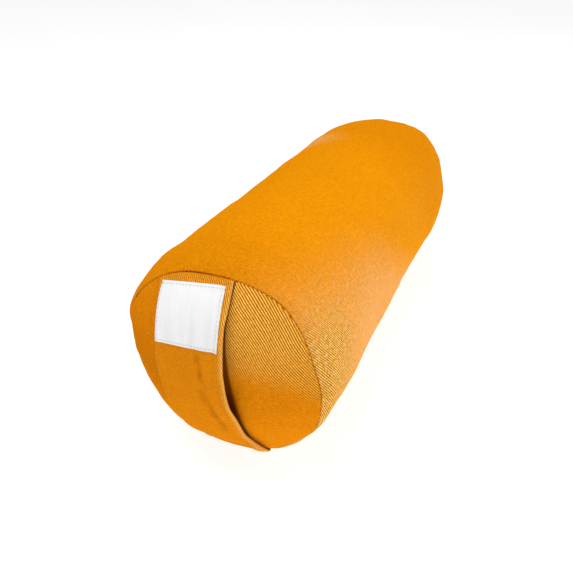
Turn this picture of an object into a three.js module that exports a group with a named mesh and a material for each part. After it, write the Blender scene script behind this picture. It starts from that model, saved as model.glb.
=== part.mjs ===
// Small round yoga bolster: a firm filled tube of orange cotton twill, closed at each end by a
// round twill panel, with a wide double-cloth hand band bowed across the near end panel and a
// bare white woven label sewn on the band. The bolster lies on its side.
// Millimetres. +Z up, the bolster's long axis along Y, the banded end at -Y, and the origin under
// the middle of the whole object, on the surface that it lies on.
// Shapes are worked out in a bolster frame first: front seam plane y = 0, long axis z = 0,
// angles round the axis from +X towards +Z.

import * as THREE from "three";

// ---- driving dimensions (mm) ----
const SEAM_TO_SEAM = 358; // length of the side panel
const AXIS_HEIGHT = 78.6; // long axis above the surface: the filling settles a little below it
const FRONT_DOME = 27.3; // how far the front end panel stands out at its middle
const BACK_DOME = 26.0;
const DOME_POWER = 2.1; // roundness of the domes
const PANEL_THICK = 2.0; // end panel cloth, with the wadding that shows as its softness
const PANEL_RIM_THICK = 1.2; // thinner where the seam draws it in
const GAP = 0.4; // clearance between neighbouring pieces
const SEAM_BACK_RIGHT = 1.0; // the front seam sits back at the sides, and is held forward
const SEAM_BACK_LEFT = 4.3; // at the top and bottom, where the band is caught in it
const FAR_FADE = 32; // how far along the side the far end's unevenness reaches
const BAND_WIDTH = 55;
const BAND_THICK = 2.6; // two layers of twill, turned in at the edges
const BAND_END_THICK = 1.4;
const BAND_TILT = THREE.MathUtils.degToRad(9.9); // the bolster is rolled this far on its axis
const BAND_TOP_REACH = 71.8; // end panel middle to the band's top end
const BAND_BOTTOM_REACH = 72.6;
const LABEL_WIDTH = 50;
const LABEL_LEFT_MARGIN = 0.6; // from the band's left edge
const LABEL_TOP = 65.5; // up the band from the end panel's middle
const LABEL_BOTTOM = 33.5;
const LABEL_THICK = 1.0;
const AROUND = 48; // facets round the bolster

// The side panel from the front seam (0) to the back seam: half thickness and sideways offset.
// Round shoulders, a slight waist past the middle, and a far end that draws in more.
const SIDE = [
  { along: 0, radius: 75.8, aside: -0.2 },
  { along: 2, radius: 77.3, aside: -0.2 },
  { along: 5, radius: 78.9, aside: -0.2 },
  { along: 9, radius: 80.2, aside: -0.1 },
  { along: 15, radius: 81, aside: 0 },
  { along: 38, radius: 81.7, aside: 0.4 },
  { along: 76, radius: 81.8, aside: -0.4 },
  { along: 122, radius: 80.7, aside: -1 },
  { along: 167, radius: 80.2, aside: -1.6 },
  { along: 213, radius: 79.5, aside: -2.8 },
  { along: 258, radius: 79.5, aside: -2.3 },
  { along: 296, radius: 79.6, aside: -1.5 },
  { along: 318, radius: 79, aside: -1.4 },
  { along: 331, radius: 78, aside: -1.4 },
  { along: 342, radius: 76.6, aside: -1.4 },
  { along: 350, radius: 75.2, aside: -1.5 },
  { along: 355, radius: 74, aside: -1.5 },
  { along: 358, radius: 73, aside: -1.5 },
];

// Unevenness of the front seam's radius, as waves round the seam (shares of the radius).
const SEAM_WAVES = [
  { waves: 1, cosine: -0.0004, sine: -0.0094 },
  { waves: 2, cosine: 0.0108, sine: 0.0205 },
  { waves: 3, cosine: -0.0106, sine: -0.0015 },
  { waves: 4, cosine: -0.0112, sine: -0.0132 },
  { waves: 6, cosine: 0.0084, sine: -0.006 },
  { waves: 7, cosine: 0.0042, sine: -0.0019 },
];

// Unevenness of the far seam: a soft flat on top, a fuller upper right, a slighter right side.
const FAR_BUMPS = [
  { angle: 95, spread: 22, height: -4.8 },
  { angle: 54, spread: 18, height: 2.4 },
  { angle: 5, spread: 20, height: -1.9 },
];

// How far the band's outer face stands out from the front seam plane, along the band from its
// bottom end (-1) to its top end (+1), at its left and its right edge. The left edge lies on the
// dome, and the right edge bows clear of it, where a hand goes in.
const BAND_ARCH = [
  { along: -1.0, left: 2.0, right: 2.2 },
  { along: -0.9, left: 8.0, right: 7.7 },
  { along: -0.8, left: 12.6, right: 13.0 },
  { along: -0.7, left: 16.2, right: 17.3 },
  { along: -0.58, left: 20.0, right: 21.2 },
  { along: -0.34, left: 25.5, right: 28.2 },
  { along: -0.07, left: 29.3, right: 33.8 },
  { along: 0.11, left: 29.3, right: 34.8 },
  { along: 0.27, left: 27.9, right: 33.5 },
  { along: 0.45, left: 24.3, right: 28.8 },
  { along: 0.57, left: 21.3, right: 24.9 },
  { along: 0.73, left: 15.9, right: 18.8 },
  { along: 0.83, left: 11.2, right: 13.2 },
  { along: 0.93, left: 5.5, right: 6.4 },
  { along: 1.0, left: 1.0, right: 1.0 },
];

// Where the facet rings lie: shares of the radius on the domes, millimetres along the side.
const DOME_RINGS = [0.2, 0.38, 0.54, 0.68, 0.8, 0.9];
const SIDE_RINGS = [
  0, 2, 5, 9, 15, 24, 38, 56, 76, 100, 125, 150, 175, 200, 225, 250, 275, 296, 314, 328, 338, 346,
  352, 356, 358,
];

// ---- small helpers ----

// Smooth curve through one column of a table: monotone between rows, flat at humps.
function column(rows, key) {
  const x = rows.map((row) => row.along);
  const y = rows.map((row) => row[key]);
  const n = x.length;
  const step = [];
  for (let i = 0; i < n - 1; i++) step.push((y[i + 1] - y[i]) / (x[i + 1] - x[i]));
  const slope = [step[0]];
  for (let i = 1; i < n - 1; i++) {
    const a = step[i - 1];
    const b = step[i];
    slope.push(a * b <= 0 ? 0 : (2 * a * b) / (a + b));
  }
  slope.push(step[n - 2]);
  return (at) => {
    const p = Math.min(Math.max(at, x[0]), x[n - 1]);
    let i = 0;
    while (i < n - 2 && p > x[i + 1]) i++;
    const h = x[i + 1] - x[i];
    const t = (p - x[i]) / h;
    const t2 = t * t;
    const t3 = t2 * t;
    return (
      y[i] * (2 * t3 - 3 * t2 + 1) +
      slope[i] * h * (t3 - 2 * t2 + t) +
      y[i + 1] * (3 * t2 - 2 * t3) +
      slope[i + 1] * h * (t3 - t2)
    );
  };
}

function softMax(a, b, blend) {
  return 0.5 * (a + b + Math.sqrt((a - b) * (a - b) + blend * blend));
}

// One closed body from a stack of equal rings between two end points.
function closedFromRings(startPoint, rings, endPoint) {
  const count = rings[0].length;
  const position = [...startPoint, ...rings.flat(2), ...endPoint];
  const index = [];
  const at = (ring, k) => 1 + ring * count + (k % count);
  const last = 1 + rings.length * count;
  for (let k = 0; k < count; k++) {
    index.push(0, at(0, k), at(0, k + 1));
    for (let ring = 0; ring < rings.length - 1; ring++) {
      index.push(at(ring, k), at(ring + 1, k), at(ring + 1, k + 1));
      index.push(at(ring, k), at(ring + 1, k + 1), at(ring, k + 1));
    }
    index.push(last, at(rings.length - 1, k + 1), at(rings.length - 1, k));
  }
  const geometry = new THREE.BufferGeometry();
  geometry.setAttribute("position", new THREE.Float32BufferAttribute(position, 3));
  geometry.setIndex(index);
  return geometry;
}

// One closed slab from two equal grids of points: its outer face and its inner face.
function closedFromGrids(outer, inner) {
  const rows = outer.length;
  const cols = outer[0].length;
  const position = [...outer.flat(2), ...inner.flat(2)];
  const index = [];
  const o = (r, c) => r * cols + c;
  const i = (r, c) => rows * cols + r * cols + c;
  const quad = (a, b, c, d) => index.push(a, b, c, a, c, d);
  for (let r = 0; r < rows - 1; r++) {
    for (let c = 0; c < cols - 1; c++) {
      quad(o(r, c), o(r, c + 1), o(r + 1, c + 1), o(r + 1, c));
      quad(i(r, c), i(r + 1, c), i(r + 1, c + 1), i(r, c + 1));
    }
    quad(o(r, 0), o(r + 1, 0), i(r + 1, 0), i(r, 0));
    quad(o(r, cols - 1), i(r, cols - 1), i(r + 1, cols - 1), o(r + 1, cols - 1));
  }
  for (let c = 0; c < cols - 1; c++) {
    quad(o(0, c), i(0, c), i(0, c + 1), o(0, c + 1));
    quad(o(rows - 1, c), o(rows - 1, c + 1), i(rows - 1, c + 1), i(rows - 1, c));
  }
  const geometry = new THREE.BufferGeometry();
  geometry.setAttribute("position", new THREE.Float32BufferAttribute(position, 3));
  geometry.setIndex(index);
  return geometry;
}

// ---- the bolster's surfaces ----

const sideRadius = column(SIDE, "radius");
const sideAside = column(SIDE, "aside");
const bandLeft = column(BAND_ARCH, "left");
const bandRight = column(BAND_ARCH, "right");

function seamWave(angle) {
  let wave = 0;
  for (const row of SEAM_WAVES) {
    wave += row.cosine * Math.cos(row.waves * angle) + row.sine * Math.sin(row.waves * angle);
  }
  return wave;
}

function seamBack(angle) {
  const c = Math.cos(angle);
  return c < 0 ? SEAM_BACK_LEFT * c * c : SEAM_BACK_RIGHT * c * c;
}

function farWave(along, angle) {
  let wave = 0;
  for (const bump of FAR_BUMPS) {
    const off = THREE.MathUtils.euclideanModulo(THREE.MathUtils.radToDeg(angle) - bump.angle + 180, 360) - 180;
    wave += bump.height * Math.exp(-((off / bump.spread) ** 2));
  }
  return wave * Math.exp((along - SEAM_TO_SEAM) / FAR_FADE);
}

function seamRadius(angle) {
  return sideRadius(0) * (1 + seamWave(angle));
}

const rested = (z) => Math.max(z, -AXIS_HEIGHT);

function sidePoint(along, angle) {
  const radius =
    sideRadius(along) * (1 + seamWave(angle) * Math.exp(-along / 25)) + farWave(along, angle);
  return [
    sideAside(along) + radius * Math.cos(angle),
    along + seamBack(angle) * Math.exp(-along / 60),
    rested(radius * Math.sin(angle)),
  ];
}

const domeShape = (share) => 1 - Math.pow(share, DOME_POWER);
const clothThick = (share) =>
  PANEL_THICK + (PANEL_RIM_THICK - PANEL_THICK) * THREE.MathUtils.smoothstep(share, 0.8, 1);

// y of the front end panel's outer face, at a share of the radius and an angle
function frontOuterY(share, angle) {
  const rim = GAP + PANEL_RIM_THICK;
  return seamBack(angle) * share * share - rim - (FRONT_DOME - rim) * domeShape(share);
}

function frontPoint(share, angle, depth) {
  const radius = seamRadius(angle) * share;
  return [
    sideAside(0) * share + radius * Math.cos(angle),
    frontOuterY(share, angle) + depth,
    rested(radius * Math.sin(angle)),
  ];
}

function backRim(angle) {
  return sideRadius(SEAM_TO_SEAM) + farWave(SEAM_TO_SEAM, angle);
}

function backPoint(share, angle, depth) {
  const rim = GAP + PANEL_RIM_THICK;
  const radius = backRim(angle) * share;
  return [
    sideAside(SEAM_TO_SEAM) + radius * Math.cos(angle),
    SEAM_TO_SEAM + rim + (BACK_DOME - rim) * domeShape(share) - depth,
    rested(radius * Math.sin(angle)),
  ];
}

// one ring of points, turning so that the stacked faces point out
function ring(point) {
  const points = [];
  for (let k = 0; k < AROUND; k++) points.push(point((-2 * Math.PI * k) / AROUND));
  return points;
}

// ---- pieces ----

// The filled tube: front dome, side panel and back dome in one body.
function filledBody() {
  const under = (share) => clothThick(share) + GAP;
  const rings = [];
  for (const share of [...DOME_RINGS, 0.96]) {
    rings.push(ring((a) => frontPoint(share, a, under(share))));
  }
  for (const along of SIDE_RINGS) rings.push(ring((a) => sidePoint(along, a)));
  for (const share of [0.96, ...[...DOME_RINGS].reverse()]) {
    rings.push(ring((a) => backPoint(share, a, under(share))));
  }
  return closedFromRings(
    frontPoint(0, 0, under(0)),
    rings,
    backPoint(0, 0, under(0)),
  );
}

// A round end panel: a domed sheet, its outer face, its rim and its inner face.
function endPanel(point) {
  const shares = [...DOME_RINGS, 0.96, 1];
  const rings = [];
  for (const share of shares) rings.push(ring((a) => point(share, a, 0)));
  for (const share of [...shares].reverse()) {
    rings.push(ring((a) => point(share, a, clothThick(share))));
  }
  return closedFromRings(point(0, 0, 0), rings, point(0, 0, clothThick(0)));
}

// Place on the band: across it from its middle line, and up it from the end panel's middle.
function bandPlace(across, up) {
  const c = Math.cos(BAND_TILT);
  const s = Math.sin(BAND_TILT);
  return { x: across * c - up * s, z: across * s + up * c };
}

function bandReach(across, upwards) {
  const reach = upwards ? BAND_TOP_REACH : BAND_BOTTOM_REACH;
  return Math.sqrt(reach * reach - across * across);
}

// How far the band's outer face stands out: its own arch, lifted clear of the end panel.
function bandStand(across, up, thick) {
  const along = up / bandReach(across, up > 0);
  const share = across / BAND_WIDTH + 0.5;
  const arch = THREE.MathUtils.lerp(bandLeft(along), bandRight(along), share);
  const { x, z } = bandPlace(across, up);
  const angle = Math.atan2(z, x);
  const panel = -frontOuterY(Math.min(Math.hypot(x, z) / seamRadius(angle), 1), angle);
  return softMax(arch, panel + GAP + 0.3 + thick, 0.6);
}

// thickness measured along y, so that the cloth is as thick as stated square to its slope
function slopedThick(across, up, thick) {
  const d = 0.5;
  const lean = (bandStand(across, up + d, thick) - bandStand(across, up - d, thick)) / (2 * d);
  return thick * Math.sqrt(1 + Math.min(lean * lean, 1.4));
}

function bandThick(along) {
  const end = THREE.MathUtils.smoothstep(Math.abs(along), 0.86, 1);
  return THREE.MathUtils.lerp(BAND_THICK, BAND_END_THICK, end);
}

function handleBand() {
  const outer = [];
  const inner = [];
  const rows = 34;
  const cols = 8;
  for (let r = 0; r <= rows; r++) {
    const along = Math.sin((Math.PI / 2) * ((2 * r) / rows - 1) * 0.92) / Math.sin(Math.PI * 0.46);
    const outerRow = [];
    const innerRow = [];
    for (let c = 0; c <= cols; c++) {
      const across = BAND_WIDTH * (c / cols - 0.5);
      const up = along * bandReach(across, along > 0);
      const thick = slopedThick(across, up, bandThick(along));
      const stand = bandStand(across, up, thick);
      const { x, z } = bandPlace(across, up);
      outerRow.push([x, -stand, z]);
      innerRow.push([x, -stand + thick, z]);
    }
    outer.push(outerRow);
    inner.push(innerRow);
  }
  return closedFromGrids(outer, inner);
}

function label() {
  const outer = [];
  const inner = [];
  const rows = 8;
  const cols = 8;
  const left = -BAND_WIDTH / 2 + LABEL_LEFT_MARGIN;
  for (let r = 0; r <= rows; r++) {
    const up = THREE.MathUtils.lerp(LABEL_BOTTOM, LABEL_TOP, r / rows);
    const outerRow = [];
    const innerRow = [];
    for (let c = 0; c <= cols; c++) {
      const across = left + (LABEL_WIDTH * c) / cols;
      const along = up / bandReach(across, true);
      const thick = slopedThick(across, up, bandThick(along));
      const stand = bandStand(across, up, thick) + GAP * (thick / BAND_THICK + 0.6);
      const { x, z } = bandPlace(across, up);
      outerRow.push([x, -stand - LABEL_THICK * (thick / BAND_THICK), z]);
      innerRow.push([x, -stand, z]);
    }
    outer.push(outerRow);
    inner.push(innerRow);
  }
  return closedFromGrids(outer, inner);
}

// ---- materials and assembly ----

const twill = new THREE.MeshStandardMaterial({ color: 0xee9410, roughness: 0.9, metalness: 0 });
const panelTwill = new THREE.MeshStandardMaterial({ color: 0xe08a10, roughness: 0.9, metalness: 0 });
const bandTwill = new THREE.MeshStandardMaterial({ color: 0xd98410, roughness: 0.9, metalness: 0 });
const labelWeave = new THREE.MeshStandardMaterial({ color: 0xf1f1ef, roughness: 0.75, metalness: 0 });

const group = new THREE.Group();
const bolster = new THREE.Group();
group.add(bolster);

function piece(name, geometry, material) {
  geometry.computeVertexNormals();
  const mesh = new THREE.Mesh(geometry, material);
  mesh.name = name;
  bolster.add(mesh);
  return mesh;
}

piece("filled_body", filledBody(), twill);
piece("end_panel_front", endPanel(frontPoint), panelTwill);
const backPanel = endPanel(backPoint);
piece("end_panel_back", backPanel, panelTwill.clone());
piece("handle_band", handleBand(), bandTwill);
piece("label", label(), labelWeave);

// A closed geometry's volume by its signed tetrahedra: negative where the faces point in.
function signedVolume(geometry) {
  const p = geometry.getAttribute("position");
  const a = new THREE.Vector3();
  const b = new THREE.Vector3();
  const c = new THREE.Vector3();
  let sum = 0;
  for (let k = 0; k < geometry.index.count; k += 3) {
    a.fromBufferAttribute(p, geometry.index.getX(k));
    b.fromBufferAttribute(p, geometry.index.getX(k + 1));
    c.fromBufferAttribute(p, geometry.index.getX(k + 2));
    sum += a.dot(b.cross(c)) / 6;
  }
  return sum;
}

for (const mesh of bolster.children) {
  if (signedVolume(mesh.geometry) < 0) {
    const index = mesh.geometry.index;
    for (let k = 0; k < index.count; k += 3) {
      const keep = index.getX(k + 1);
      index.setX(k + 1, index.getX(k + 2));
      index.setX(k + 2, keep);
    }
    mesh.geometry.computeVertexNormals();
  }
}

// The origin goes under the middle of the whole object, on the surface that it lies on.
const box = new THREE.Box3().setFromObject(bolster);
const middle = box.getCenter(new THREE.Vector3());
bolster.position.set(-middle.x, -middle.y, -box.min.z);

export default group;
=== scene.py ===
import math

import bpy
import bmesh
import numpy as np
from mathutils import Euler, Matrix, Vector


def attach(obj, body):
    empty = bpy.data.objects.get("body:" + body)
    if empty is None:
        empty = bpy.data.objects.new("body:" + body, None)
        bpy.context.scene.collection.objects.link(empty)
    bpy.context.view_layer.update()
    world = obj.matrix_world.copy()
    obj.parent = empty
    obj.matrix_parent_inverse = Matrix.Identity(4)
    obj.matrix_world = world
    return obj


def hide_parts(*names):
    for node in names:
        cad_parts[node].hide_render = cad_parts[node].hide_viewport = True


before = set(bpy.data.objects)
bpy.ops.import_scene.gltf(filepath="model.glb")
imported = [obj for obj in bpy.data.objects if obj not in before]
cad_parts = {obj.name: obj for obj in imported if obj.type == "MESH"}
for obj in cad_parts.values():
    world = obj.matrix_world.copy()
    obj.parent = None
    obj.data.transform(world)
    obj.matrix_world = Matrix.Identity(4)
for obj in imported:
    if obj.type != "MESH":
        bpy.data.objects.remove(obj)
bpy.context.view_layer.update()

# ---------------------------------------------------------------------------
# The bolster's own shape, in millimetres. The front seam lies in y = 0, the
# long axis in z = 0, and angles run from +X towards +Z.
# ---------------------------------------------------------------------------
PLACE = np.array([0.0683, -174.6067, 78.6])
AXIS_HEIGHT = 78.6
SEAM_TO_SEAM = 358.0
FRONT_DOME, BACK_DOME, DOME_POWER = 27.3, 26.0, 2.1
SEAM_BACK_RIGHT, SEAM_BACK_LEFT = 1.0, 4.3

# along the bolster, radius, sideways shift
SIDE = np.array([
    (0, 75.8, -0.2), (2, 77.3, -0.2), (5, 78.9, -0.2), (9, 80.2, -0.1), (15, 81.0, 0.0),
    (38, 81.7, 0.4), (76, 81.8, -0.4), (122, 80.7, -1.0), (167, 80.2, -1.6), (213, 79.5, -2.8),
    (258, 79.5, -2.3), (296, 79.6, -1.5), (318, 79.0, -1.4), (331, 78.0, -1.4), (342, 76.6, -1.4),
    (350, 75.2, -1.5), (355, 74.0, -1.5), (358, 73.0, -1.5)], float)
# waves round the near seam: how many, cosine part, sine part
SEAM_WAVES = [(1, -0.0004, -0.0094), (2, 0.0108, 0.0205), (3, -0.0106, -0.0015),
              (4, -0.0112, -0.0132), (6, 0.0084, -0.006), (7, 0.0042, -0.0019)]
# bumps at the far end: angle, spread, height
FAR_BUMPS = [(95, 22, -4.8), (54, 18, 2.4), (5, 20, -1.9)]

# small local shifts of the near seam: angle, spread in degrees, outward in mm
SEAM_SHIFTS = [(-23, 12, 2.8), (-43, 7, 0.5), (-92, 17, -2.5), (-74, 9, -1.1),
               (151, 6, -0.4), (164, 6, 1.8), (177, 7, -0.6)]

# soft creases and dents of the side: along, angle, half length along,
# half spread in degrees, slant (mm of y for each degree), depth
DENTS = [
    (42, 150, 19.0, 20, 0.0, 1.9),
    (14, 152, 9.0, 9, 0.0, -0.3),
    (256, 341, 34.0, 18, 0.0, -1.7),
    (112, 345, 55.0, 20, 0.0, -1.2),
    (174, 4, 20.0, 16, 0.0, -1.9),
    (340, 52, 16.0, 18, 0.0, 0.9),
    (152, 28, 9.0, 26, -0.10, -1.5),
    (137, 30, 10.0, 24, -0.10, 0.7),
    (251, 92, 8.0, 24, -0.22, -1.5),
    (268, 92, 9.0, 26, -0.22, 0.6),
    (55, 116, 16.0, 10, 0.0, 0.6),
    (152, 119, 14.0, 9, 0.0, 0.5),
    (98, 60, 26.0, 22, 0.3, -0.5),
    (205, 60, 22.0, 16, 0.2, 0.5),
    (62, 205, 20.0, 20, 0.3, -0.9),
    (180, 190, 16.0, 25, -0.2, -1.0),
    (290, 215, 12.0, 22, 0.1, -0.9),
    (300, -20, 10.0, 20, 0.15, -0.8),
    (90, -15, 18.0, 16, -0.2, -0.6)]

# up the band's line, where the deep shade under the band's open edge ends, where it has faded
UNDER_BAND = np.array([
    (-72, 26.6, 28.2), (-62, 23.6, 25.4), (-51, 21.9, 23.4), (-33, 21.8, 25.0), (-18.5, 22.2, 26.6), (-7, 22.6, 27.8),
    (5, 23.3, 26.0), (16.5, 23.7, 26.1), (30, 24.3, 25.5), (42, 24.8, 25.8), (53, 26.6, 27.6), (64, 28.5, 29.6),
    (72, 30.0, 31.3)], float)

PANEL_RIB_ANGLE = math.radians(128.5)
RIB = 1.44               # from rib to rib of the twill
RIB_HIGH = 0.17          # how high a rib stands
STITCH = 3.0             # from stitch to stitch in the seams
SEAM_ROUND = 0.80        # radius of the cloth turning into a seam
CLOTH = 1.0              # thickness of the single cloth

BAND_WIDTH = 55.0
BAND_TILT = math.radians(9.9)
BAND_THICK, BAND_END_THICK = 2.6, 1.2
BAND_TOP_REACH, BAND_BOTTOM_REACH = 71.8, 72.6
# share of the reach, stand-off of the left edge, of the right edge
BAND_ARCH = np.array([
    (-1.0, 2.0, 2.2), (-.90, 8.0, 7.7), (-.80, 12.6, 13.0), (-.70, 16.2, 17.3), (-.58, 20.0, 21.2),
    (-.34, 25.5, 28.2), (-.07, 29.3, 33.8), (.11, 29.3, 34.8), (.27, 27.9, 33.5), (.45, 24.3, 28.8),
    (.57, 21.3, 24.9), (.73, 15.9, 18.8), (.83, 11.2, 13.2), (.93, 5.5, 6.4), (1.0, 1.0, 1.0)], float)
# soft folds of the band: across and up at one end, across and up at the other, half width, depth
BAND_FOLDS = [
    (7.2, 31.0, 9.6, 13.0, 3.0, -1.15),
    (6.3, 4.0, 11.6, -33.0, 4.4, -1.6),
    (13.5, 22.0, 15.5, 2.0, 2.6, 0.55),
    (14.0, 4.0, 20.5, -42.0, 2.6, 1.25),
    (-12.0, 20.0, -9.0, -30.0, 7.0, -0.35),
    (-20.0, 10.0, -17.0, -40.0, 4.0, 0.35)]

LABEL_WIDTH = 50.5
LABEL_LEFT = -BAND_WIDTH / 2 + 1.2
LABEL_TOP, LABEL_BOTTOM = 66.3, 32.1


def column(x, y):
    """A smooth line through a table's column that never overshoots."""
    x, y = np.asarray(x, float), np.asarray(y, float)
    step = np.diff(y) / np.diff(x)
    slope = np.r_[step[0], [0 if a * b <= 0 else 2 * a * b / (a + b) for a, b in zip(step[:-1], step[1:])], step[-1]]

    def at(p):
        p = np.clip(p, x[0], x[-1])
        i = np.clip(np.searchsorted(x, p, side="left") - 1, 0, len(x) - 2)
        h = x[i + 1] - x[i]
        t = (p - x[i]) / h
        return (y[i] * (2 * t**3 - 3 * t**2 + 1) + slope[i] * h * (t**3 - 2 * t**2 + t)
                + y[i + 1] * (3 * t**2 - 2 * t**3) + slope[i + 1] * h * (t**3 - t**2))
    return at


side_radius = column(SIDE[:, 0], SIDE[:, 1])
side_aside = column(SIDE[:, 0], SIDE[:, 2])
band_left = column(BAND_ARCH[:, 0], BAND_ARCH[:, 1])
band_right = column(BAND_ARCH[:, 0], BAND_ARCH[:, 2])


def smooth(a, b, x):
    t = np.clip((x - a) / (b - a), 0, 1)
    return t * t * (3 - 2 * t)


def noise(points, length, seed, count=22, stretch=(1, 1, 1)):
    """Smooth noise of about unit size from a fixed set of plane waves."""
    rng = np.random.RandomState(seed)
    d = rng.normal(size=(count, 3))
    d /= np.linalg.norm(d, axis=1)[:, None]
    k = d * (2 * math.pi / (length * rng.uniform(0.75, 1.35, count)))[:, None] * np.array(stretch, float)
    phase = rng.uniform(0, 2 * math.pi, count)
    flat = points.reshape(-1, 3)
    out = np.zeros(len(flat))
    for i in range(count):
        out += np.cos(flat @ k[i] + phase[i])
    return (out * math.sqrt(2.0 / count)).reshape(points.shape[:-1])


def seam_wave(th):
    w = 0 * th
    for k, c, s in SEAM_WAVES:
        w = w + c * np.cos(k * th) + s * np.sin(k * th)
    return w


def far_wave(y, th):
    w = 0 * th
    for a, s, h in FAR_BUMPS:
        off = (th - math.radians(a) + math.pi) % (2 * math.pi) - math.pi
        w = w + h * np.exp(-(off / math.radians(s))**2)
    return w * np.exp((y - SEAM_TO_SEAM) / 32.0)


def seam_shift(th):
    w = 0 * th
    for a, s, h in SEAM_SHIFTS:
        off = (th - math.radians(a) + math.pi) % (2 * math.pi) - math.pi
        w = w + h * np.exp(-(off / math.radians(s))**2)
    return w


def seam_back(th):
    c = np.cos(th)
    return SEAM_BACK_LEFT * np.maximum(0, -c)**2 + SEAM_BACK_RIGHT * np.maximum(0, c)**2


def side_point(y, th):
    r = (side_radius(y) * (1 + seam_wave(th) * np.exp(-y / 25.0)) + far_wave(y, th)
         + seam_shift(th) * np.exp(-y / 7.0))
    return np.stack([side_aside(y) + r * np.cos(th), y + seam_back(th) * np.exp(-y / 60.0),
                     np.maximum(r * np.sin(th), -AXIS_HEIGHT)], -1)


def front_point(rho, th):
    r = (side_radius(0) * (1 + seam_wave(th)) + seam_shift(th)) * rho
    return np.stack([side_aside(0) * rho + r * np.cos(th),
                     seam_back(th) * rho**2 - FRONT_DOME * (1 - rho**DOME_POWER),
                     np.maximum(r * np.sin(th), -AXIS_HEIGHT)], -1)


def back_point(rho, th):
    r = (side_radius(SEAM_TO_SEAM) + far_wave(SEAM_TO_SEAM, th)) * rho
    return np.stack([side_aside(SEAM_TO_SEAM) + r * np.cos(th),
                     SEAM_TO_SEAM + BACK_DOME * (1 - rho**DOME_POWER) + 0 * th,
                     np.maximum(r * np.sin(th), -AXIS_HEIGHT)], -1)


def unit(v):
    return v / np.maximum(np.linalg.norm(v, axis=-1, keepdims=True), 1e-12)


def grid_normals(p, wrap=False):
    """Normals of a grid of points, from its neighbours along both directions."""
    a = np.gradient(p, axis=0)
    if wrap:
        b = (np.roll(p, -1, 1) - np.roll(p, 1, 1)) / 2
    else:
        b = np.gradient(p, axis=1)
    return unit(np.cross(a, b))


def rib_profile(phase):
    """A rounded twill rib with a narrow valley: 0 in the valley, 1 on top."""
    return (0.5 - 0.5 * np.cos(2 * math.pi * phase))**0.6


# ---------------------------------------------------------------------------
# Meshes from grids
# ---------------------------------------------------------------------------
class Builder:
    """Collects grids of points that share their borders, and makes one mesh of them."""

    def __init__(self):
        self.points, self.faces, self.values, self.count = [], [], [], 0

    def grid(self, p, val, wrap=False):
        rows, cols = p.shape[:2]
        base = self.count
        self.points.append(p.reshape(-1, 3))
        self.count += rows * cols
        i = np.arange(rows - 1)[:, None]
        j = np.arange(cols if wrap else cols - 1)[None, :]
        k = (j + 1) % cols
        q = np.stack([base + i * cols + j, base + i * cols + k, base + (i + 1) * cols + k,
                      base + (i + 1) * cols + j], -1)
        v = np.stack([val[i, j], val[i, j + 1], val[i + 1, j + 1], val[i + 1, j]], -2)
        self.faces.append(q.reshape(-1, 4))
        self.values.append(v.reshape(-1, 4, val.shape[-1]))

    def mesh(self, name, weld=0.002):
        p = np.concatenate(self.points)
        f = np.concatenate(self.faces)
        v = np.concatenate(self.values)
        key = np.round(p / weld).astype(np.int64)
        _, first, inverse = np.unique(key, axis=0, return_index=True, return_inverse=True)
        inverse = inverse.reshape(-1)
        p, f = p[first], inverse[f]
        same = np.stack([f[:, k] == f[:, (k + 1) % 4] for k in range(4)], 1)
        polys, vals = [], []
        whole = ~same.any(1) & (f[:, 0] != f[:, 2]) & (f[:, 1] != f[:, 3])
        polys += f[whole].tolist()
        vals.append(v[whole].reshape(-1, v.shape[-1]))
        for k in range(4):
            pick = (same.sum(1) == 1) & same[:, k]
            keep = [c for c in range(4) if c != (k + 1) % 4]
            polys += f[pick][:, keep].tolist()
            vals.append(v[pick][:, keep].reshape(-1, v.shape[-1]))
        values = np.concatenate(vals).astype(np.float32)
        me = bpy.data.meshes.new(name)
        me.from_pydata(((p + PLACE) * 0.001).tolist(), [], polys)
        cloth = me.attributes.new("cloth", "FLOAT_VECTOR", "CORNER")
        cloth.data.foreach_set("vector", np.ascontiguousarray(values[:, :3]).ravel())
        tone = me.attributes.new("tone", "FLOAT_VECTOR", "CORNER")
        tone.data.foreach_set("vector", np.ascontiguousarray(values[:, 3:6]).ravel())
        ribs = me.attributes.new("ribs", "FLOAT", "CORNER")
        ribs.data.foreach_set("value", np.ascontiguousarray(values[:, 6]))
        bm = bmesh.new()
        bm.from_mesh(me)
        bmesh.ops.recalc_face_normals(bm, faces=bm.faces)
        bm.to_mesh(me)
        bm.free()
        me.polygons.foreach_set("use_smooth", [True] * len(me.polygons))
        me.update()
        ob = bpy.data.objects.new(name, me)
        bpy.context.scene.collection.objects.link(ob)
        return ob


def values(*layers):
    """Cloth place across and along in mm, rib phase, painted edge highlight (below zero: painted shade that dims the
    cloth), painted shade in seams, needle holes, creases and under the band, painted sheen (on the label: painted
    shade), and how strongly the rib colours are painted.
    """
    shape = np.broadcast(*layers).shape
    out = np.zeros(shape + (7,))
    out[..., 6] = 0.5
    for i, layer in enumerate(layers):
        out[..., i] = layer
    return out


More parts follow.
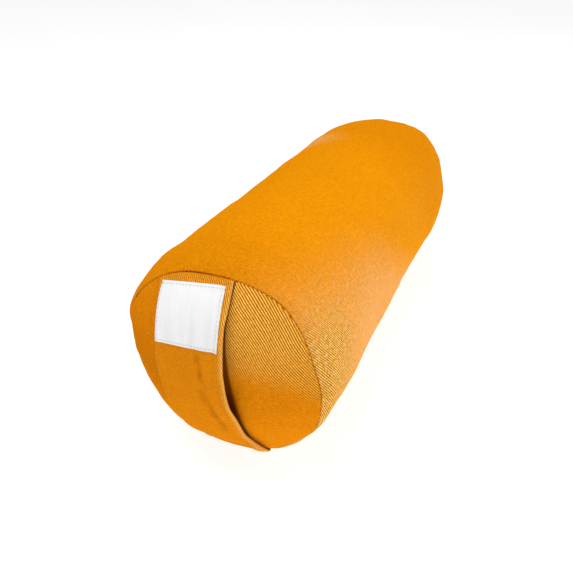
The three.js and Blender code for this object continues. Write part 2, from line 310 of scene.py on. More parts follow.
# ---------------------------------------------------------------------------
# Seams: where the side meets an end panel, with its own small frame
# ---------------------------------------------------------------------------
class Seam:
    """The line where the side cloth and an end panel turn in together."""

    def __init__(self, front):
        self.front = front
        self.dome = front_point if front else back_point
        # arc length of the dome from its middle to the seam, by share
        rho = np.linspace(0, 1, 400)
        line = np.mean([self.dome(rho, np.full_like(rho, a)) for a in (0.3, 1.2, 2.0, 2.8)], axis=0)
        lines = [self.dome(rho, np.full_like(rho, a)) for a in (0.3, 1.2, 2.0, 2.8)]
        arc = np.mean([np.r_[0, np.cumsum(np.linalg.norm(np.diff(q, axis=0), axis=1))] for q in lines], axis=0)
        self.rho, self.arc, self.reach = rho, arc, arc[-1]

    def panel(self, f, th):
        return self.dome(np.interp(f, self.arc, self.rho), th)

    def side(self, s, th):
        """A point of the side at arc distance s from this seam."""
        y = np.interp(s, SIDE_ARC, SIDE_Y)
        return side_point(y, th)

    def frame(self, th):
        d = 0.4
        p0 = self.dome(np.ones_like(th), th)
        if self.front:
            out = side_point(np.full_like(th, 0.6), th) - p0
        else:
            out = side_point(np.full_like(th, SEAM_TO_SEAM - 0.6), th) - p0
        inn = self.panel(np.full_like(th, self.reach - d), th) - p0
        across = unit(unit(out) - unit(inn))
        e = 1e-3
        along = unit(self.dome(np.ones_like(th), th + e) - self.dome(np.ones_like(th), th - e))
        n = unit(np.cross(along, across))
        centre = np.array([0.0, 40.0 if self.front else SEAM_TO_SEAM - 40.0, 0.0])
        flip = np.sign(((p0 - centre) * n).sum(-1, keepdims=True))
        return p0, across, n * flip, along


_y = np.linspace(0, SEAM_TO_SEAM, 3000)
_r = side_radius(_y)
SIDE_Y = _y
SIDE_ARC = np.r_[0, np.cumsum(np.hypot(np.diff(_y), np.diff(_r)))]
SIDE_LONG = SIDE_ARC[-1]
front_seam, back_seam = Seam(True), Seam(False)


deep_edge = column(UNDER_BAND[:, 0], UNDER_BAND[:, 1])
soft_edge = column(UNDER_BAND[:, 0], UNDER_BAND[:, 2])


def sideways(th, seed):
    """The seam line wanders a little from stitch to stitch."""
    s = th * 75.8
    return (0.12 * np.sin(2 * math.pi * s / STITCH + 1.3 * np.sin(s / 9.0 + seed))
            + 0.16 * np.sin(s / 5.3 + seed) + 0.14 * np.sin(s / 11.9 + 2.0 * seed))


def pucker(th, seed):
    ring = np.stack([75.8 * np.cos(th), 0 * th, 75.8 * np.sin(th)], -1)
    return 0.6 * noise(ring, 9.0, seed) + 0.4 * noise(ring, 17.0, seed + 1)


def stitch_pull(th):
    """1 between stitches and 0 at a stitch."""
    return 0.5 - 0.5 * np.cos(2 * math.pi * th * 75.8 / STITCH)


def turn_in(s):
    """How far the cloth drops as it turns into a seam, at distance s from it."""
    r = SEAM_ROUND
    x = np.clip(r - s, 0, r)
    return -(r - np.sqrt(np.maximum(r * r - x * x, 0)))


def band_zone(th):
    """1 where the band's end lies in the near seam."""
    top = smooth(24.5, 22.5, np.abs(np.degrees((th - math.radians(99.9) + math.pi) % (2 * math.pi) - math.pi)))
    low = smooth(24.5, 22.5, np.abs(np.degrees((th + math.radians(80.1) + math.pi) % (2 * math.pi) - math.pi)))
    return np.maximum(top, low)


# ---------------------------------------------------------------------------
# Filling pressure: a coarse closed bag of the same shape, a little slack,
# swells between its sewn rings, and its wrinkles go into the fine cloth
# ---------------------------------------------------------------------------
BAG_ROUND, BAG_LONG = 108, 66
BAG_SHARES = np.r_[0.04, np.linspace(0.1, 0.9, 12), 0.96]
WRINKLE_MOST = 1.1


def settle_bag():
    """Wrinkles of the bag, outward in mm: rows from the near middle to the far middle, columns round it."""
    rows = 2 * len(BAG_SHARES) + BAG_LONG
    th = np.linspace(0, 2 * math.pi, BAG_ROUND, endpoint=False)
    p = [front_point(np.full_like(th, r), th) for r in BAG_SHARES]
    p += [side_point(np.full_like(th, np.interp(s, SIDE_ARC, SIDE_Y)), th) for s in np.linspace(0, SIDE_LONG, BAG_LONG)]
    p += [back_point(np.full_like(th, r), th) for r in BAG_SHARES[::-1]]
    start = np.array(p).reshape(-1, 3)
    i, j = np.arange(rows - 1)[:, None], np.arange(BAG_ROUND)[None, :]
    k = (j + 1) % BAG_ROUND
    faces = np.stack([i * BAG_ROUND + j, i * BAG_ROUND + k, (i + 1) * BAG_ROUND + k, (i + 1) * BAG_ROUND + j], -1)
    faces = faces.reshape(-1, 4).tolist() + [list(range(BAG_ROUND - 1, -1, -1)),
                                             list(range((rows - 1) * BAG_ROUND, rows * BAG_ROUND))]
    me = bpy.data.meshes.new("bag")
    me.from_pydata((start * 0.001).tolist(), [], faces)
    bm = bmesh.new()
    bm.from_mesh(me)
    bmesh.ops.recalc_face_normals(bm, faces=bm.faces)
    bm.to_mesh(me)
    bm.free()
    bag = bpy.data.objects.new("bag", me)
    bpy.context.scene.collection.objects.link(bag)
    # the two seams and the part it lies on are held
    first, last = len(BAG_SHARES), len(BAG_SHARES) + BAG_LONG - 1
    held = [n for n in range(len(start)) if n // BAG_ROUND in (first, last) or start[n, 2] < -AXIS_HEIGHT + 0.05]
    bag.vertex_groups.new(name="held").add(held, 1.0, "REPLACE")
    mod = bag.modifiers.new("settle", "CLOTH")
    cloth = mod.settings
    cloth.quality = 5
    cloth.mass = 0.25
    cloth.tension_stiffness = cloth.compression_stiffness = 32
    cloth.shear_stiffness = 8
    cloth.bending_stiffness = 0.5
    cloth.tension_damping = cloth.compression_damping = 8
    cloth.use_pressure = True
    cloth.uniform_pressure_force = 5
    cloth.shrink_min = -0.006
    cloth.vertex_group_mass = "held"
    cloth.pin_stiffness = 1.0
    cloth.effector_weights.gravity = 0
    mod.collision_settings.use_collision = False
    mod.collision_settings.use_self_collision = False
    mod.point_cache.frame_start, mod.point_cache.frame_end = 1, 20
    for step in range(1, 21):
        bpy.context.scene.frame_set(step)
    done = bag.evaluated_get(bpy.context.evaluated_depsgraph_get())
    got = done.to_mesh()
    end = np.empty(len(start) * 3)
    got.vertices.foreach_get("co", end)
    done.to_mesh_clear()
    normal = np.empty(len(start) * 3)
    me.vertices.foreach_get("normal", normal)
    out = ((end.reshape(-1, 3) * 1000 - start) * normal.reshape(-1, 3)).sum(1).reshape(rows, BAG_ROUND)
    bpy.data.objects.remove(bag)
    bpy.data.meshes.remove(me)
    bpy.context.scene.frame_set(1)

    def soften(a, size):
        w = np.exp(-(np.arange(-3 * size, 3 * size + 1) / size)**2 / 2)
        w = w / w.sum()
        a = sum(x * np.roll(a, n - 3 * size, 1) for n, x in enumerate(w))
        padded = np.pad(a, ((3 * size, 3 * size), (0, 0)), mode="reflect")
        return sum(x * padded[n:n + rows] for n, x in enumerate(w))

    # the broad swell is already in the shape; only the wrinkles are kept
    fine = out - soften(out, 5)
    smoothed = fine.copy()
    smoothed = 0.25 * np.roll(smoothed, 1, 1) + 0.5 * smoothed + 0.25 * np.roll(smoothed, -1, 1)
    smoothed[1:-1] = 0.25 * smoothed[:-2] + 0.5 * smoothed[1:-1] + 0.25 * smoothed[2:]
    return WRINKLE_MOST * np.tanh(smoothed / WRINKLE_MOST)


def spline_weights(t):
    return np.stack([-0.5 * t + t**2 - 0.5 * t**3, 1 - 2.5 * t**2 + 1.5 * t**3,
                     0.5 * t + 2 * t**2 - 1.5 * t**3, -0.5 * t**2 + 0.5 * t**3])


def wrinkles(row, th):
    """The bag's wrinkles at a row number that may lie between rows."""
    row, th = np.broadcast_arrays(np.asarray(row, float), th)
    col = (th / (2 * math.pi) * BAG_ROUND) % BAG_ROUND
    r0, c0 = np.floor(row).astype(int), np.floor(col).astype(int)
    wr, wc = spline_weights(row - r0), spline_weights(col - c0)
    out = np.zeros(row.shape)
    for a in range(4):
        r = np.clip(r0 + a - 1, 0, len(WRINKLES) - 1)
        for b in range(4):
            out += wr[a] * wc[b] * WRINKLES[r, (c0 + b - 1) % BAG_ROUND]
    return out


WRINKLES = settle_bag()


def side_wrinkles(s, th):
    return wrinkles(len(BAG_SHARES) + np.clip(s / SIDE_LONG, 0, 1) * (BAG_LONG - 1), th)


def panel_wrinkles(f, th, seam):
    share = np.interp(f, seam.arc, seam.rho)
    row = np.interp(share, np.r_[0, BAG_SHARES, 1], np.r_[0, np.arange(len(BAG_SHARES)), len(BAG_SHARES)])
    if not seam.front:
        row = len(WRINKLES) - 1 - row
    return wrinkles(row, th) * smooth(0.0, 0.25, share)


# ---------------------------------------------------------------------------
# The filled body with its side cloth
# ---------------------------------------------------------------------------
def seam_rise(s, th, seed):
    """Soft swell and pucker of a cloth beside a seam."""
    swell = -0.35 * np.exp(-(s / 3.2)**2)
    folds = 0.34 * pucker(th, seed) * np.exp(-s / 7.0) * (1 - np.exp(-s / 1.2))
    pulls = 0.10 * stitch_pull(th) * np.exp(-s / 1.6)
    return swell + folds + pulls


def side_relief(p, y, th):
    """Dents, lumps of the filling and slackness of the side, outward in mm."""
    h = 0 * y
    deg = np.degrees(th)
    for along, angle, half, spread, slant, depth in DENTS:
        off = (deg - angle + 180) % 360 - 180
        h = h + depth * np.exp(-(((y - along - slant * off) / half)**2)) * np.exp(-(off / spread)**2)
    h = h + 0.32 * noise(p, 60.0, 11) + 0.16 * noise(p, 26.0, 12) + 0.05 * noise(p, 11.0, 13)
    return h * smooth(0, 7, y) * smooth(0, 14, SEAM_TO_SEAM - y)


def turned(deg, middle):
    return (deg - middle + 180) % 360 - 180


def painted_sheen(s, deg):
    """Where a pale sheen is painted on the side: along its right flank, more so towards the near end, and in a patch
    near the far end on the upper left.
    """
    low = turned(deg, 8)
    flank = np.exp(-(np.maximum(low - 6, 0) / (22.0 + 12.0 * np.exp(-s / 50.0)))**2) * np.exp(-(np.maximum(-low - 30, 0) / 30.0)**2)
    near = 1 - smooth(96, 186, s + np.where(low > 10, 0.75, 2.2) * (low - 10))
    far = 0.8 * np.exp(-((s - 263) / 16.0)**2) * np.exp(-(turned(deg, 119) / 14.0)**2)
    palest = 0.30 * np.exp(-(turned(deg, 2) / 15.0)**2) * np.exp(-((s - 84) / 34.0)**2)
    return np.clip(flank * near + far, 0, 1) + palest


def painted_side_shade(s, deg):
    """Where painted shade dims the side a little: towards the far right, and beside the near seam on top."""
    far = smooth(205, 300, s) * np.exp(-(np.maximum(np.abs(turned(deg, 45)) - 30, 0) / 30.0)**2)
    near = np.exp(-(s / 46.0)**2) * np.exp(-(np.maximum(np.abs(turned(deg, 105)) - 35, 0) / 25.0)**2)
    return np.clip(0.9 * far + 0.75 * near, 0, 1)


def light_top(th):
    """The painted shade of the near seam is lighter along the top and darker on the left shoulder."""
    deg = np.degrees(th)
    return (1 - 0.62 * np.exp(-(np.maximum(np.abs(turned(deg, 105)) - 25, 0) / 18.0)**2)
            + 1.3 * np.exp(-(np.maximum(np.abs(turned(deg, 143)) - 12, 0) / 7.0)**2))


def rib_paint_strength(s, deg):
    """How strongly the rib colours are painted: strongest at the lower right of the near end, where raking light falls,
    and faint elsewhere.
    """
    low = turned(deg, 6)
    rib_paint = np.exp(-(np.maximum(low - 12, 0) / 22.0)**2) * np.exp(-(np.maximum(-low - 34, 0) / 30.0)**2)
    return rib_paint * (0.12 + 0.98 * (1 - smooth(22, 66, s)))


CLOSING = math.radians(-104)   # the side's own closing seam, underneath


def make_body():
    # columns: even, with finer ones beside the closing seam
    even = CLOSING + np.linspace(0, 2 * math.pi, 401)[1:-1]
    near = np.array([0.12, 0.3, 0.55, 0.9]) / 78.0
    th = np.unique(np.r_[CLOSING, CLOSING + near, even, CLOSING + 2 * math.pi - near])
    thw = np.r_[th, CLOSING + 2 * math.pi]
    off = np.abs((th - CLOSING + math.pi) % (2 * math.pi) - math.pi) * 78.0
    closing_drop = -1.1 * np.exp(-(off / 0.5)**2) - 0.3 * np.exp(-(off / 2.2)**2)

    rows, vals = [], []
    kx, ky = 0.866 * 1.0, 0.5      # rib phase goes mostly along the bolster, and round it

    def add(p, s, shade):
        # cloth place: round the body, along the body; ribs lean 60 degrees from the long axis
        around = thw * 79.6
        turns = round(2 * math.pi * 79.6 * 0.5 / 1.40)
        phase = thw * turns / (2 * math.pi) + s * 0.866 / 1.40
        ring = np.stack([80 * np.cos(thw), 0 * thw + s, 80 * np.sin(thw)], -1)
        phase = phase + 0.35 * noise(ring, 70.0, 31) + 0.10 * noise(ring, 22.0, 32)
        rows.append(p)
        deg = np.degrees(thw)
        vals.append(values(around, s + 0 * thw, phase, -painted_side_shade(s, deg), shade + 0 * thw, painted_sheen(s, deg), rib_paint_strength(s, deg)))

    fp, fb, fn, fe = front_seam.frame(th)
    bp, bb, bn, be = back_seam.frame(th)
    # inside of the near end, from its middle outwards
    for rho in (0.0, 0.12, 0.3, 0.5, 0.68, 0.82, 0.91):
        add(front_point(np.full_like(th, rho), th) + np.array([0, 2.0, 0]), -20.0, 1)
    add(front_point(np.full_like(th, 0.955), th) + np.array([0, 4.2, 0]), -8.0, 1)
    add(fp - fb * 2.4 - fn * 5.0, -6.0, 1)
    add(fp + fb * 0.06 - fn * 5.0, -4.6, 1)
    wob = sideways(th, 1.0)[:, None]
    for depth in (3.6, 2.4, 1.7):
        add(fp + fb * (0.06 + 0.8 * wob * smooth(4.5, 1.5, depth)) - fn * depth, -depth, 1)
    # the turn of the cloth, then the side
    arcs = [SEAM_ROUND * (1 - math.cos(math.radians(a))) + 0.02 for a in (14, 28, 42, 56, 72, 90)]
    arcs += [1.7, 2.3, 3.0, 3.9, 5.0, 6.4, 8.2, 10.4, 13.0, 16.0, 19.5, 23.5, 28.0]
    arcs = np.array(arcs)
    middle = np.linspace(32.5, SIDE_LONG - 32.5, 68)
    stations = [("f", s) for s in arcs] + [("m", s) for s in middle] + [("b", SIDE_LONG - s) for s in arcs[::-1]]
    for kind, s in stations:
        y = np.full_like(th, np.interp(s, SIDE_ARC, SIDE_Y))
        p = side_point(y, th)
        e = 0.5
        y1 = np.minimum(y + e, SEAM_TO_SEAM)
        y0 = np.maximum(y - e, 0.0)
        n = unit(np.cross(side_point(y, th + 1e-3) - side_point(y, th - 1e-3), side_point(y1, th) - side_point(y0, th)))
        n = n * np.sign((n * (p - np.array([0, 1, 0]) * p[:, 1:2])).sum(-1, keepdims=True))
        flat_part = smooth(-AXIS_HEIGHT + 0.2, -AXIS_HEIGHT + 4.0, p[:, 2])
        rise = (side_relief(p, y, th) + side_wrinkles(s, th)) * flat_part
        back_s = SIDE_LONG - s
        rise = rise + seam_rise(s, th, 41) + seam_rise(back_s, th, 47)
        rise = rise + closing_drop * smooth(0, 2, s) * smooth(0, 2, back_s)
        p = p + n * rise[:, None]
        shade = 0.0
        if s < 6:
            p = p + fn * turn_in(s) + fb * (0.06 + wob) * math.exp(-s / 2.5)
            # painted shade in the seam groove
            shade = math.exp(-(s / 0.45)**2) * light_top(th)
        if back_s < 6:
            p = p + bn * turn_in(back_s) + bb * (0.06 + wob) * math.exp(-back_s / 2.5)
            shade = math.exp(-(back_s / 0.45)**2)
        # painted shade along the closing seam underneath
        closing = 0.8 * np.exp(-(off / 0.7)**2)
        shade = np.maximum(shade, closing)
        add(p, s, np.r_[shade, shade[0]])
    for depth in (1.7, 2.4, 3.6):
        add(bp + bb * (0.06 + 0.8 * wob * smooth(4.5, 1.5, depth)) - bn * depth, SIDE_LONG + depth, 1)
    add(bp + bb * 0.06 - bn * 5.0, SIDE_LONG + 4.6, 1)
    add(bp - bb * 2.4 - bn * 5.0, SIDE_LONG + 6.0, 1)
    add(back_point(np.full_like(th, 0.955), th) - np.array([0, 4.2, 0]), SIDE_LONG + 8.0, 1)
    for rho in (0.91, 0.82, 0.68, 0.5, 0.3, 0.12, 0.0):
        add(back_point(np.full_like(th, rho), th) - np.array([0, 2.0, 0]), SIDE_LONG + 20.0, 1)
    p = np.array(rows)
    p[..., 2] = np.maximum(p[..., 2], -AXIS_HEIGHT)
    b = Builder()
    b.grid(p, np.array(vals), wrap=True)
    return b.mesh("bolster_body")


# ---------------------------------------------------------------------------
# The round end panels, with their twill ribs standing in the mesh
# ---------------------------------------------------------------------------


def make_panel(name, seam, seed, lines=820, steps=72):
    front = seam.front
    lean = PANEL_RIB_ANGLE if front else math.radians(58.0)
    edge = seam.reach - SEAM_ROUND - 0.1
    out_sign = -1.0 if front else 1.0

    def relief(p, f, th):
        s = seam.reach - f
        h = seam_rise(s, th, 53 if front else 59)
        h = h + (0.18 * noise(p, 38.0, seed) + 0.09 * noise(p, 15.0, seed + 1)) * smooth(0, 10, s)
        h = h + 0.7 * panel_wrinkles(f, th, seam)
        if front:
            x, z = p[..., 0], p[..., 2]
            # it lies a little lower beside the band's open edge
            across = x * BAND_SIDE[0] + z * BAND_SIDE[1]
            up = x * BAND_UP[0] + z * BAND_UP[1]
            h = h - 1.6 * np.exp(-((across - 20) / 8.0)**2) * smooth(-66, -46, up) * smooth(70, 50, up)
            # a soft fold that runs in from the seam at the lower right
            q = (x - 60.0) * 0.28 + (z + 20.0) * 0.96
            h = h - 0.55 * np.exp(-(q / 3.2)**2) * smooth(22, 60, x) + 0.35 * np.exp(-((q - 6.5) / 4.0)**2) * smooth(22, 60, x)
        return h

    def place(a, c):
        """The outer face at a place along and across the ribs."""
        u = a * math.cos(lean) - c * math.sin(lean)
        v = a * math.sin(lean) + c * math.cos(lean)
        f, th = np.hypot(u, v), np.arctan2(v, u)
        p = seam.panel(f, th)
        return p, f, th, u, v

    def phase_of(a, c):
        at = np.stack([a, c, 0 * a], -1)
        return c / RIB + 0.16 * noise(at, 44.0, seed + 5) + 0.06 * noise(at, 13.0, seed + 6)

    alpha = np.linspace(-math.pi / 2, math.pi / 2, lines)
    tau = np.sin(np.linspace(-math.pi / 2, math.pi / 2, steps))[None, :]
    line_c = (edge * np.sin(alpha))[:, None]
    line_a = np.sqrt(np.maximum(edge**2 - line_c**2, 0))
    if front:
        # finer steps along each line at the rim, and where the shade under the band's open edge ends
        fine = np.linspace(-1, 1, 361)[None, :]
        q = place(line_a * fine, line_c + 0 * fine)[0]
        across = q[..., 0] * BAND_SIDE[0] + q[..., 2] * BAND_SIDE[1]
        up = q[..., 0] * BAND_UP[0] + q[..., 2] * BAND_UP[1]
        off = (across - 0.5 * (soft_edge(up) + deep_edge(up))) / 2.4
        want = 1 + 4.0 * np.exp(-off**2) + 5.0 * np.exp(-line_a * (1 - np.abs(fine)) / 1.5)
        run = np.cumsum(np.concatenate([np.zeros((lines, 1)), 0.5 * (want[:, 1:] + want[:, :-1])], 1), axis=1)
        tau = np.array([np.interp(np.linspace(0, r[-1], steps), r, fine[0]) for r in run])
    c = line_c + 0 * tau
    a = line_a * tau
    a[0], a[-1] = 0, 0

    def shell(a, c, thick):
        p, f, th, u, v = place(a, c)
        e = 0.15
        pu = place(a + e, c)[0] - place(a - e, c)[0]
        pv = place(a, c + e)[0] - place(a, c - e)[0]
        n = unit(np.cross(pu, pv))
        n = n * np.sign(n[..., 1:2] * out_sign + 1e-9)
        h = relief(p, f, th)
        ph = phase_of(a, c)
        fade = smooth(0, 3.0, seam.reach - f)
        if thick == 0:
            h = h + RIB_HIGH * (rib_profile(ph) - 0.6) * (0.35 + 0.65 * fade)
        return p + n * (h - thick)[..., None], ph, u, v, f, th

    b = Builder()
    p, ph, u, v, f, th = shell(a, c, 0)
    # painted shade in the seam groove at the rim
    shade = np.exp(-((seam.reach - f) / 0.45)**2)

    shade = shade * light_top(th)

    def rib_paint(u, v):
        """How strongly the rib colours are painted: strong in the upper right, where raking light falls, and faint
        lower down.
        """
        if not front:
            return 0 * u + 0.5
        edge_v = 22.0 - 0.0078 * np.maximum(u - 28, 0)**2
        inner = smooth(0.2, 2.6, seam.reach - np.hypot(u, v))
        return 0.05 + (0.82 + 0.20 * smooth(25, 58, v)) * smooth(-13, 10, v - edge_v) * smooth(-15, 8, u) * (0.35 + 0.65 * inner)

    if front:
        # painted shade under the band's open edge
        across = p[..., 0] * BAND_SIDE[0] + p[..., 2] * BAND_SIDE[1]
        up = p[..., 0] * BAND_UP[0] + p[..., 2] * BAND_UP[1]
        under = smooth(0, 1, (soft_edge(up) - across) / (soft_edge(up) - deep_edge(up))) * smooth(4, 14, across)
        shade = np.maximum(shade, (2.15 + 0.4 * np.exp(-((up + 12) / 14.0)**2)) * (1 - 0.8 * np.exp(-((up + 54) / 8.0)**2)) * under)

    # painted shade: the middle and the left of the near panel a little darker
    def painted_panel_shade(u, v):
        return -0.95 * np.exp(-((v - 2) / 32.0)**2) - 0.55 * smooth(-28, -42, u) if front else 0 * v

    grid_p, grid_v = p, values(u, v, ph, painted_panel_shade(u, v), shade, 0 * u, rib_paint(u, v))
    b.grid(grid_p, grid_v)
    # the rim, as one closed ring of columns
    ra = np.r_[a[:, 0], a[::-1, -1]]
    rc = np.r_[c[:, 0], c[::-1, -1]]
    ring_p = np.concatenate([grid_p[:, 0], grid_p[::-1, -1]])
    ring_v = np.concatenate([grid_v[:, 0], grid_v[::-1, -1]])
    _, rf, rth, ru, rv = place(ra, rc)
    rp = phase_of(ra, rc)
    p0, across, n0, along = seam.frame(rth)
    tuck = 0.06 + (1.15 * band_zone(rth) if front else 0 * rth)
    wob = sideways(rth, 1.0)
    rows, vals = [ring_p], [ring_v]

    def add(p, s, shade):
        rows.append(p)
        k = (seam.reach - s) / edge
        vals.append(values(ru * k, rv * k, rp, painted_panel_shade(ru * k, rv * k), shade + 0 * ru, 0 * ru, rib_paint(ru * k, rv * k)))

    # the cloth turning into the seam, with painted shade deepening into it
    for ang in (72, 56, 42, 28, 14, 2):
        s = SEAM_ROUND * (1 - math.cos(math.radians(ang))) + 0.02
        base = seam.panel(np.full_like(rth, seam.reach - s), rth)
        h = relief(base, np.full_like(rth, seam.reach - s), rth) + RIB_HIGH * (rib_profile(rp) - 0.6) * 0.35
        p = base + n0 * (turn_in(np.full_like(rth, s)) + h)[:, None] + across * ((wob - tuck) * math.exp(-s / 2.5))[:, None]
        add(p, s, math.exp(-(s / 0.45)**2))
    for depth in (1.7, 2.4, 3.4):
        add(p0 + across * (0.8 * wob * smooth(4.5, 1.5, depth) - tuck)[:, None] - n0 * depth, 0.0, 1)
    add(p0 - across * (tuck + CLOTH * 0.8)[:, None] - n0 * 3.4, 0.0, 1)
    # the inner face
    inner_edge = edge - 1.2
    tau2 = np.sin(np.linspace(-math.pi / 2, math.pi / 2, 9))
    c2 = (inner_edge * np.sin(alpha))[:, None] + 0 * tau2[None, :]
    a2 = np.sqrt(np.maximum(inner_edge**2 - c2**2, 0)) * tau2[None, :]
    a2[0], a2[-1] = 0, 0
    p2, ph2, u2, v2, f2, th2 = shell(a2, c2, CLOTH)
    v_in = values(u2, v2, ph2, 0 * u2, 1 + 0 * u2)
    b.grid(p2[:, ::-1], v_in[:, ::-1])
    rows.append(np.concatenate([p2[:, 0], p2[::-1, -1]]))
    vals.append(np.concatenate([v_in[:, 0], v_in[::-1, -1]]))
    rim = np.array(rows)
    rim_v = np.array(vals)
    rim_v = np.concatenate([rim_v, rim_v[:, :1]], 1)
    b.grid(rim, rim_v, wrap=True)
    return b.mesh(name)


# ---------------------------------------------------------------------------
# The band
# ---------------------------------------------------------------------------
BAND_SIDE = np.array([math.cos(BAND_TILT), math.sin(BAND_TILT)])     # across it, in x and z
BAND_UP = np.array([-math.sin(BAND_TILT), math.cos(BAND_TILT)])


def panel_out(x, z):
    """How far the near end panel stands out at x, z, and its share of the radius and angle."""
    th = np.arctan2(z, x + 0.2)
    rho = np.hypot(x + 0.2, z) / (side_radius(0) * (1 + seam_wave(th)) + seam_shift(th))
    share = np.minimum(rho, 1.0)
    return FRONT_DOME * (1 - share**DOME_POWER) - seam_back(th) * share**2, rho, th


def seam_up(u, sign):
    """How far up the band's own line the seam lies."""
    v = np.full_like(u, 74.0 * sign)
    for _ in range(12):
        x = u * BAND_SIDE[0] + v * BAND_UP[0]
        z = u * BAND_SIDE[1] + v * BAND_UP[1]
        _, rho, _ = panel_out(x, z)
        v = v / rho
        v = np.sign(v) * np.sqrt(np.maximum(v * v, 1.0))
    return v


def band_stand(u, v, thick):
    reach = np.where(v > 0, BAND_TOP_REACH, BAND_BOTTOM_REACH)
    t = v / np.sqrt(reach**2 - u**2)
    w = u / BAND_WIDTH + 0.5
    arch = band_left(t) * (1 - w) + band_right(t) * w
    arch = np.where(np.abs(t) > 1, -40.0, arch)
    x = u * BAND_SIDE[0] + v * BAND_UP[0]
    z = u * BAND_SIDE[1] + v * BAND_UP[1]
    out, rho, th = panel_out(x, z)
    low = out + 0.35 + thick
    return np.logaddexp(arch / 0.6, low / 0.6) * 0.6


def band_relief(u, v):
    h = 0 * u
    for u0, v0, u1, v1, half, depth in BAND_FOLDS:
        d = np.array([u1 - u0, v1 - v0])
        long = np.hypot(*d)
        d = d / long
        s = (u - u0) * d[0] + (v - v0) * d[1]
        off = (u - u0) * d[1] - (v - v0) * d[0]
        ends = smooth(-6, 6, s) * smooth(-6, 6, long - s)
        h = h + depth * np.exp(-(off / half)**2) * ends
    at = np.stack([u, v, 0 * u], -1)
    h = h + 0.16 * noise(at, 30.0, 71) + 0.06 * noise(at, 12.0, 72)
    # the right edge stands off the end panel down to its corner, and the lower end lies flatter
    h = h + 1.9 * np.exp(-((v + 60) / 9.0)**2) * smooth(15, 27, u)
    h = h + 1.3 * smooth(8, 30, v) * smooth(20, 27.5, u)
    h = h - 2.1 * np.exp(-((v + 64) / 13.0)**2) * smooth(24, 8, u)
    # a slight ridge along both turned edges, where the cloth is four thick
    edge = BAND_WIDTH / 2 - np.abs(u)
    h = h + 0.22 * np.exp(-((edge - 3.2) / 2.2)**2) - 0.16 * np.exp(-((edge - 7.5) / 1.6)**2)
    return h


def band_thick(v):
    reach = np.where(v > 0, BAND_TOP_REACH, BAND_BOTTOM_REACH)
    return BAND_THICK + (BAND_END_THICK - BAND_THICK) * smooth(0.80, 1.0, np.abs(v) / reach)


def band_face(u, v, depth_share=0.0, extra=0.0):
    """A point of the band: depth_share 0 is its outer face, 1 its inner face."""
    thick = band_thick(v)
    e = 0.5
    lean = (band_stand(u, v + e, thick) - band_stand(u, v - e, thick)) / (2 * e)
    sloped = thick * np.sqrt(1 + np.minimum(lean**2, 1.4))
    stand = band_stand(u, v, sloped)
    fade = smooth(0, 12, np.abs(seam_top(u) - v)) * smooth(0, 6, np.abs(v - seam_low(u)))
    stand = stand + band_relief(u, v) * fade * (1 - 0.5 * depth_share)
    x = u * BAND_SIDE[0] + v * BAND_UP[0]
    z = u * BAND_SIDE[1] + v * BAND_UP[1]
    return np.stack([x, -(stand - depth_share * sloped + extra), z], -1)


_u = np.linspace(-32, 32, 65)
_top, _low = seam_up(_u, 1.0), seam_up(_u, -1.0)


def seam_top(u):
    return np.interp(u, _u, _top)


def seam_low(u):
    return np.interp(u, _u, _low)


BAND_RIB_LEAN = math.radians(26.0)


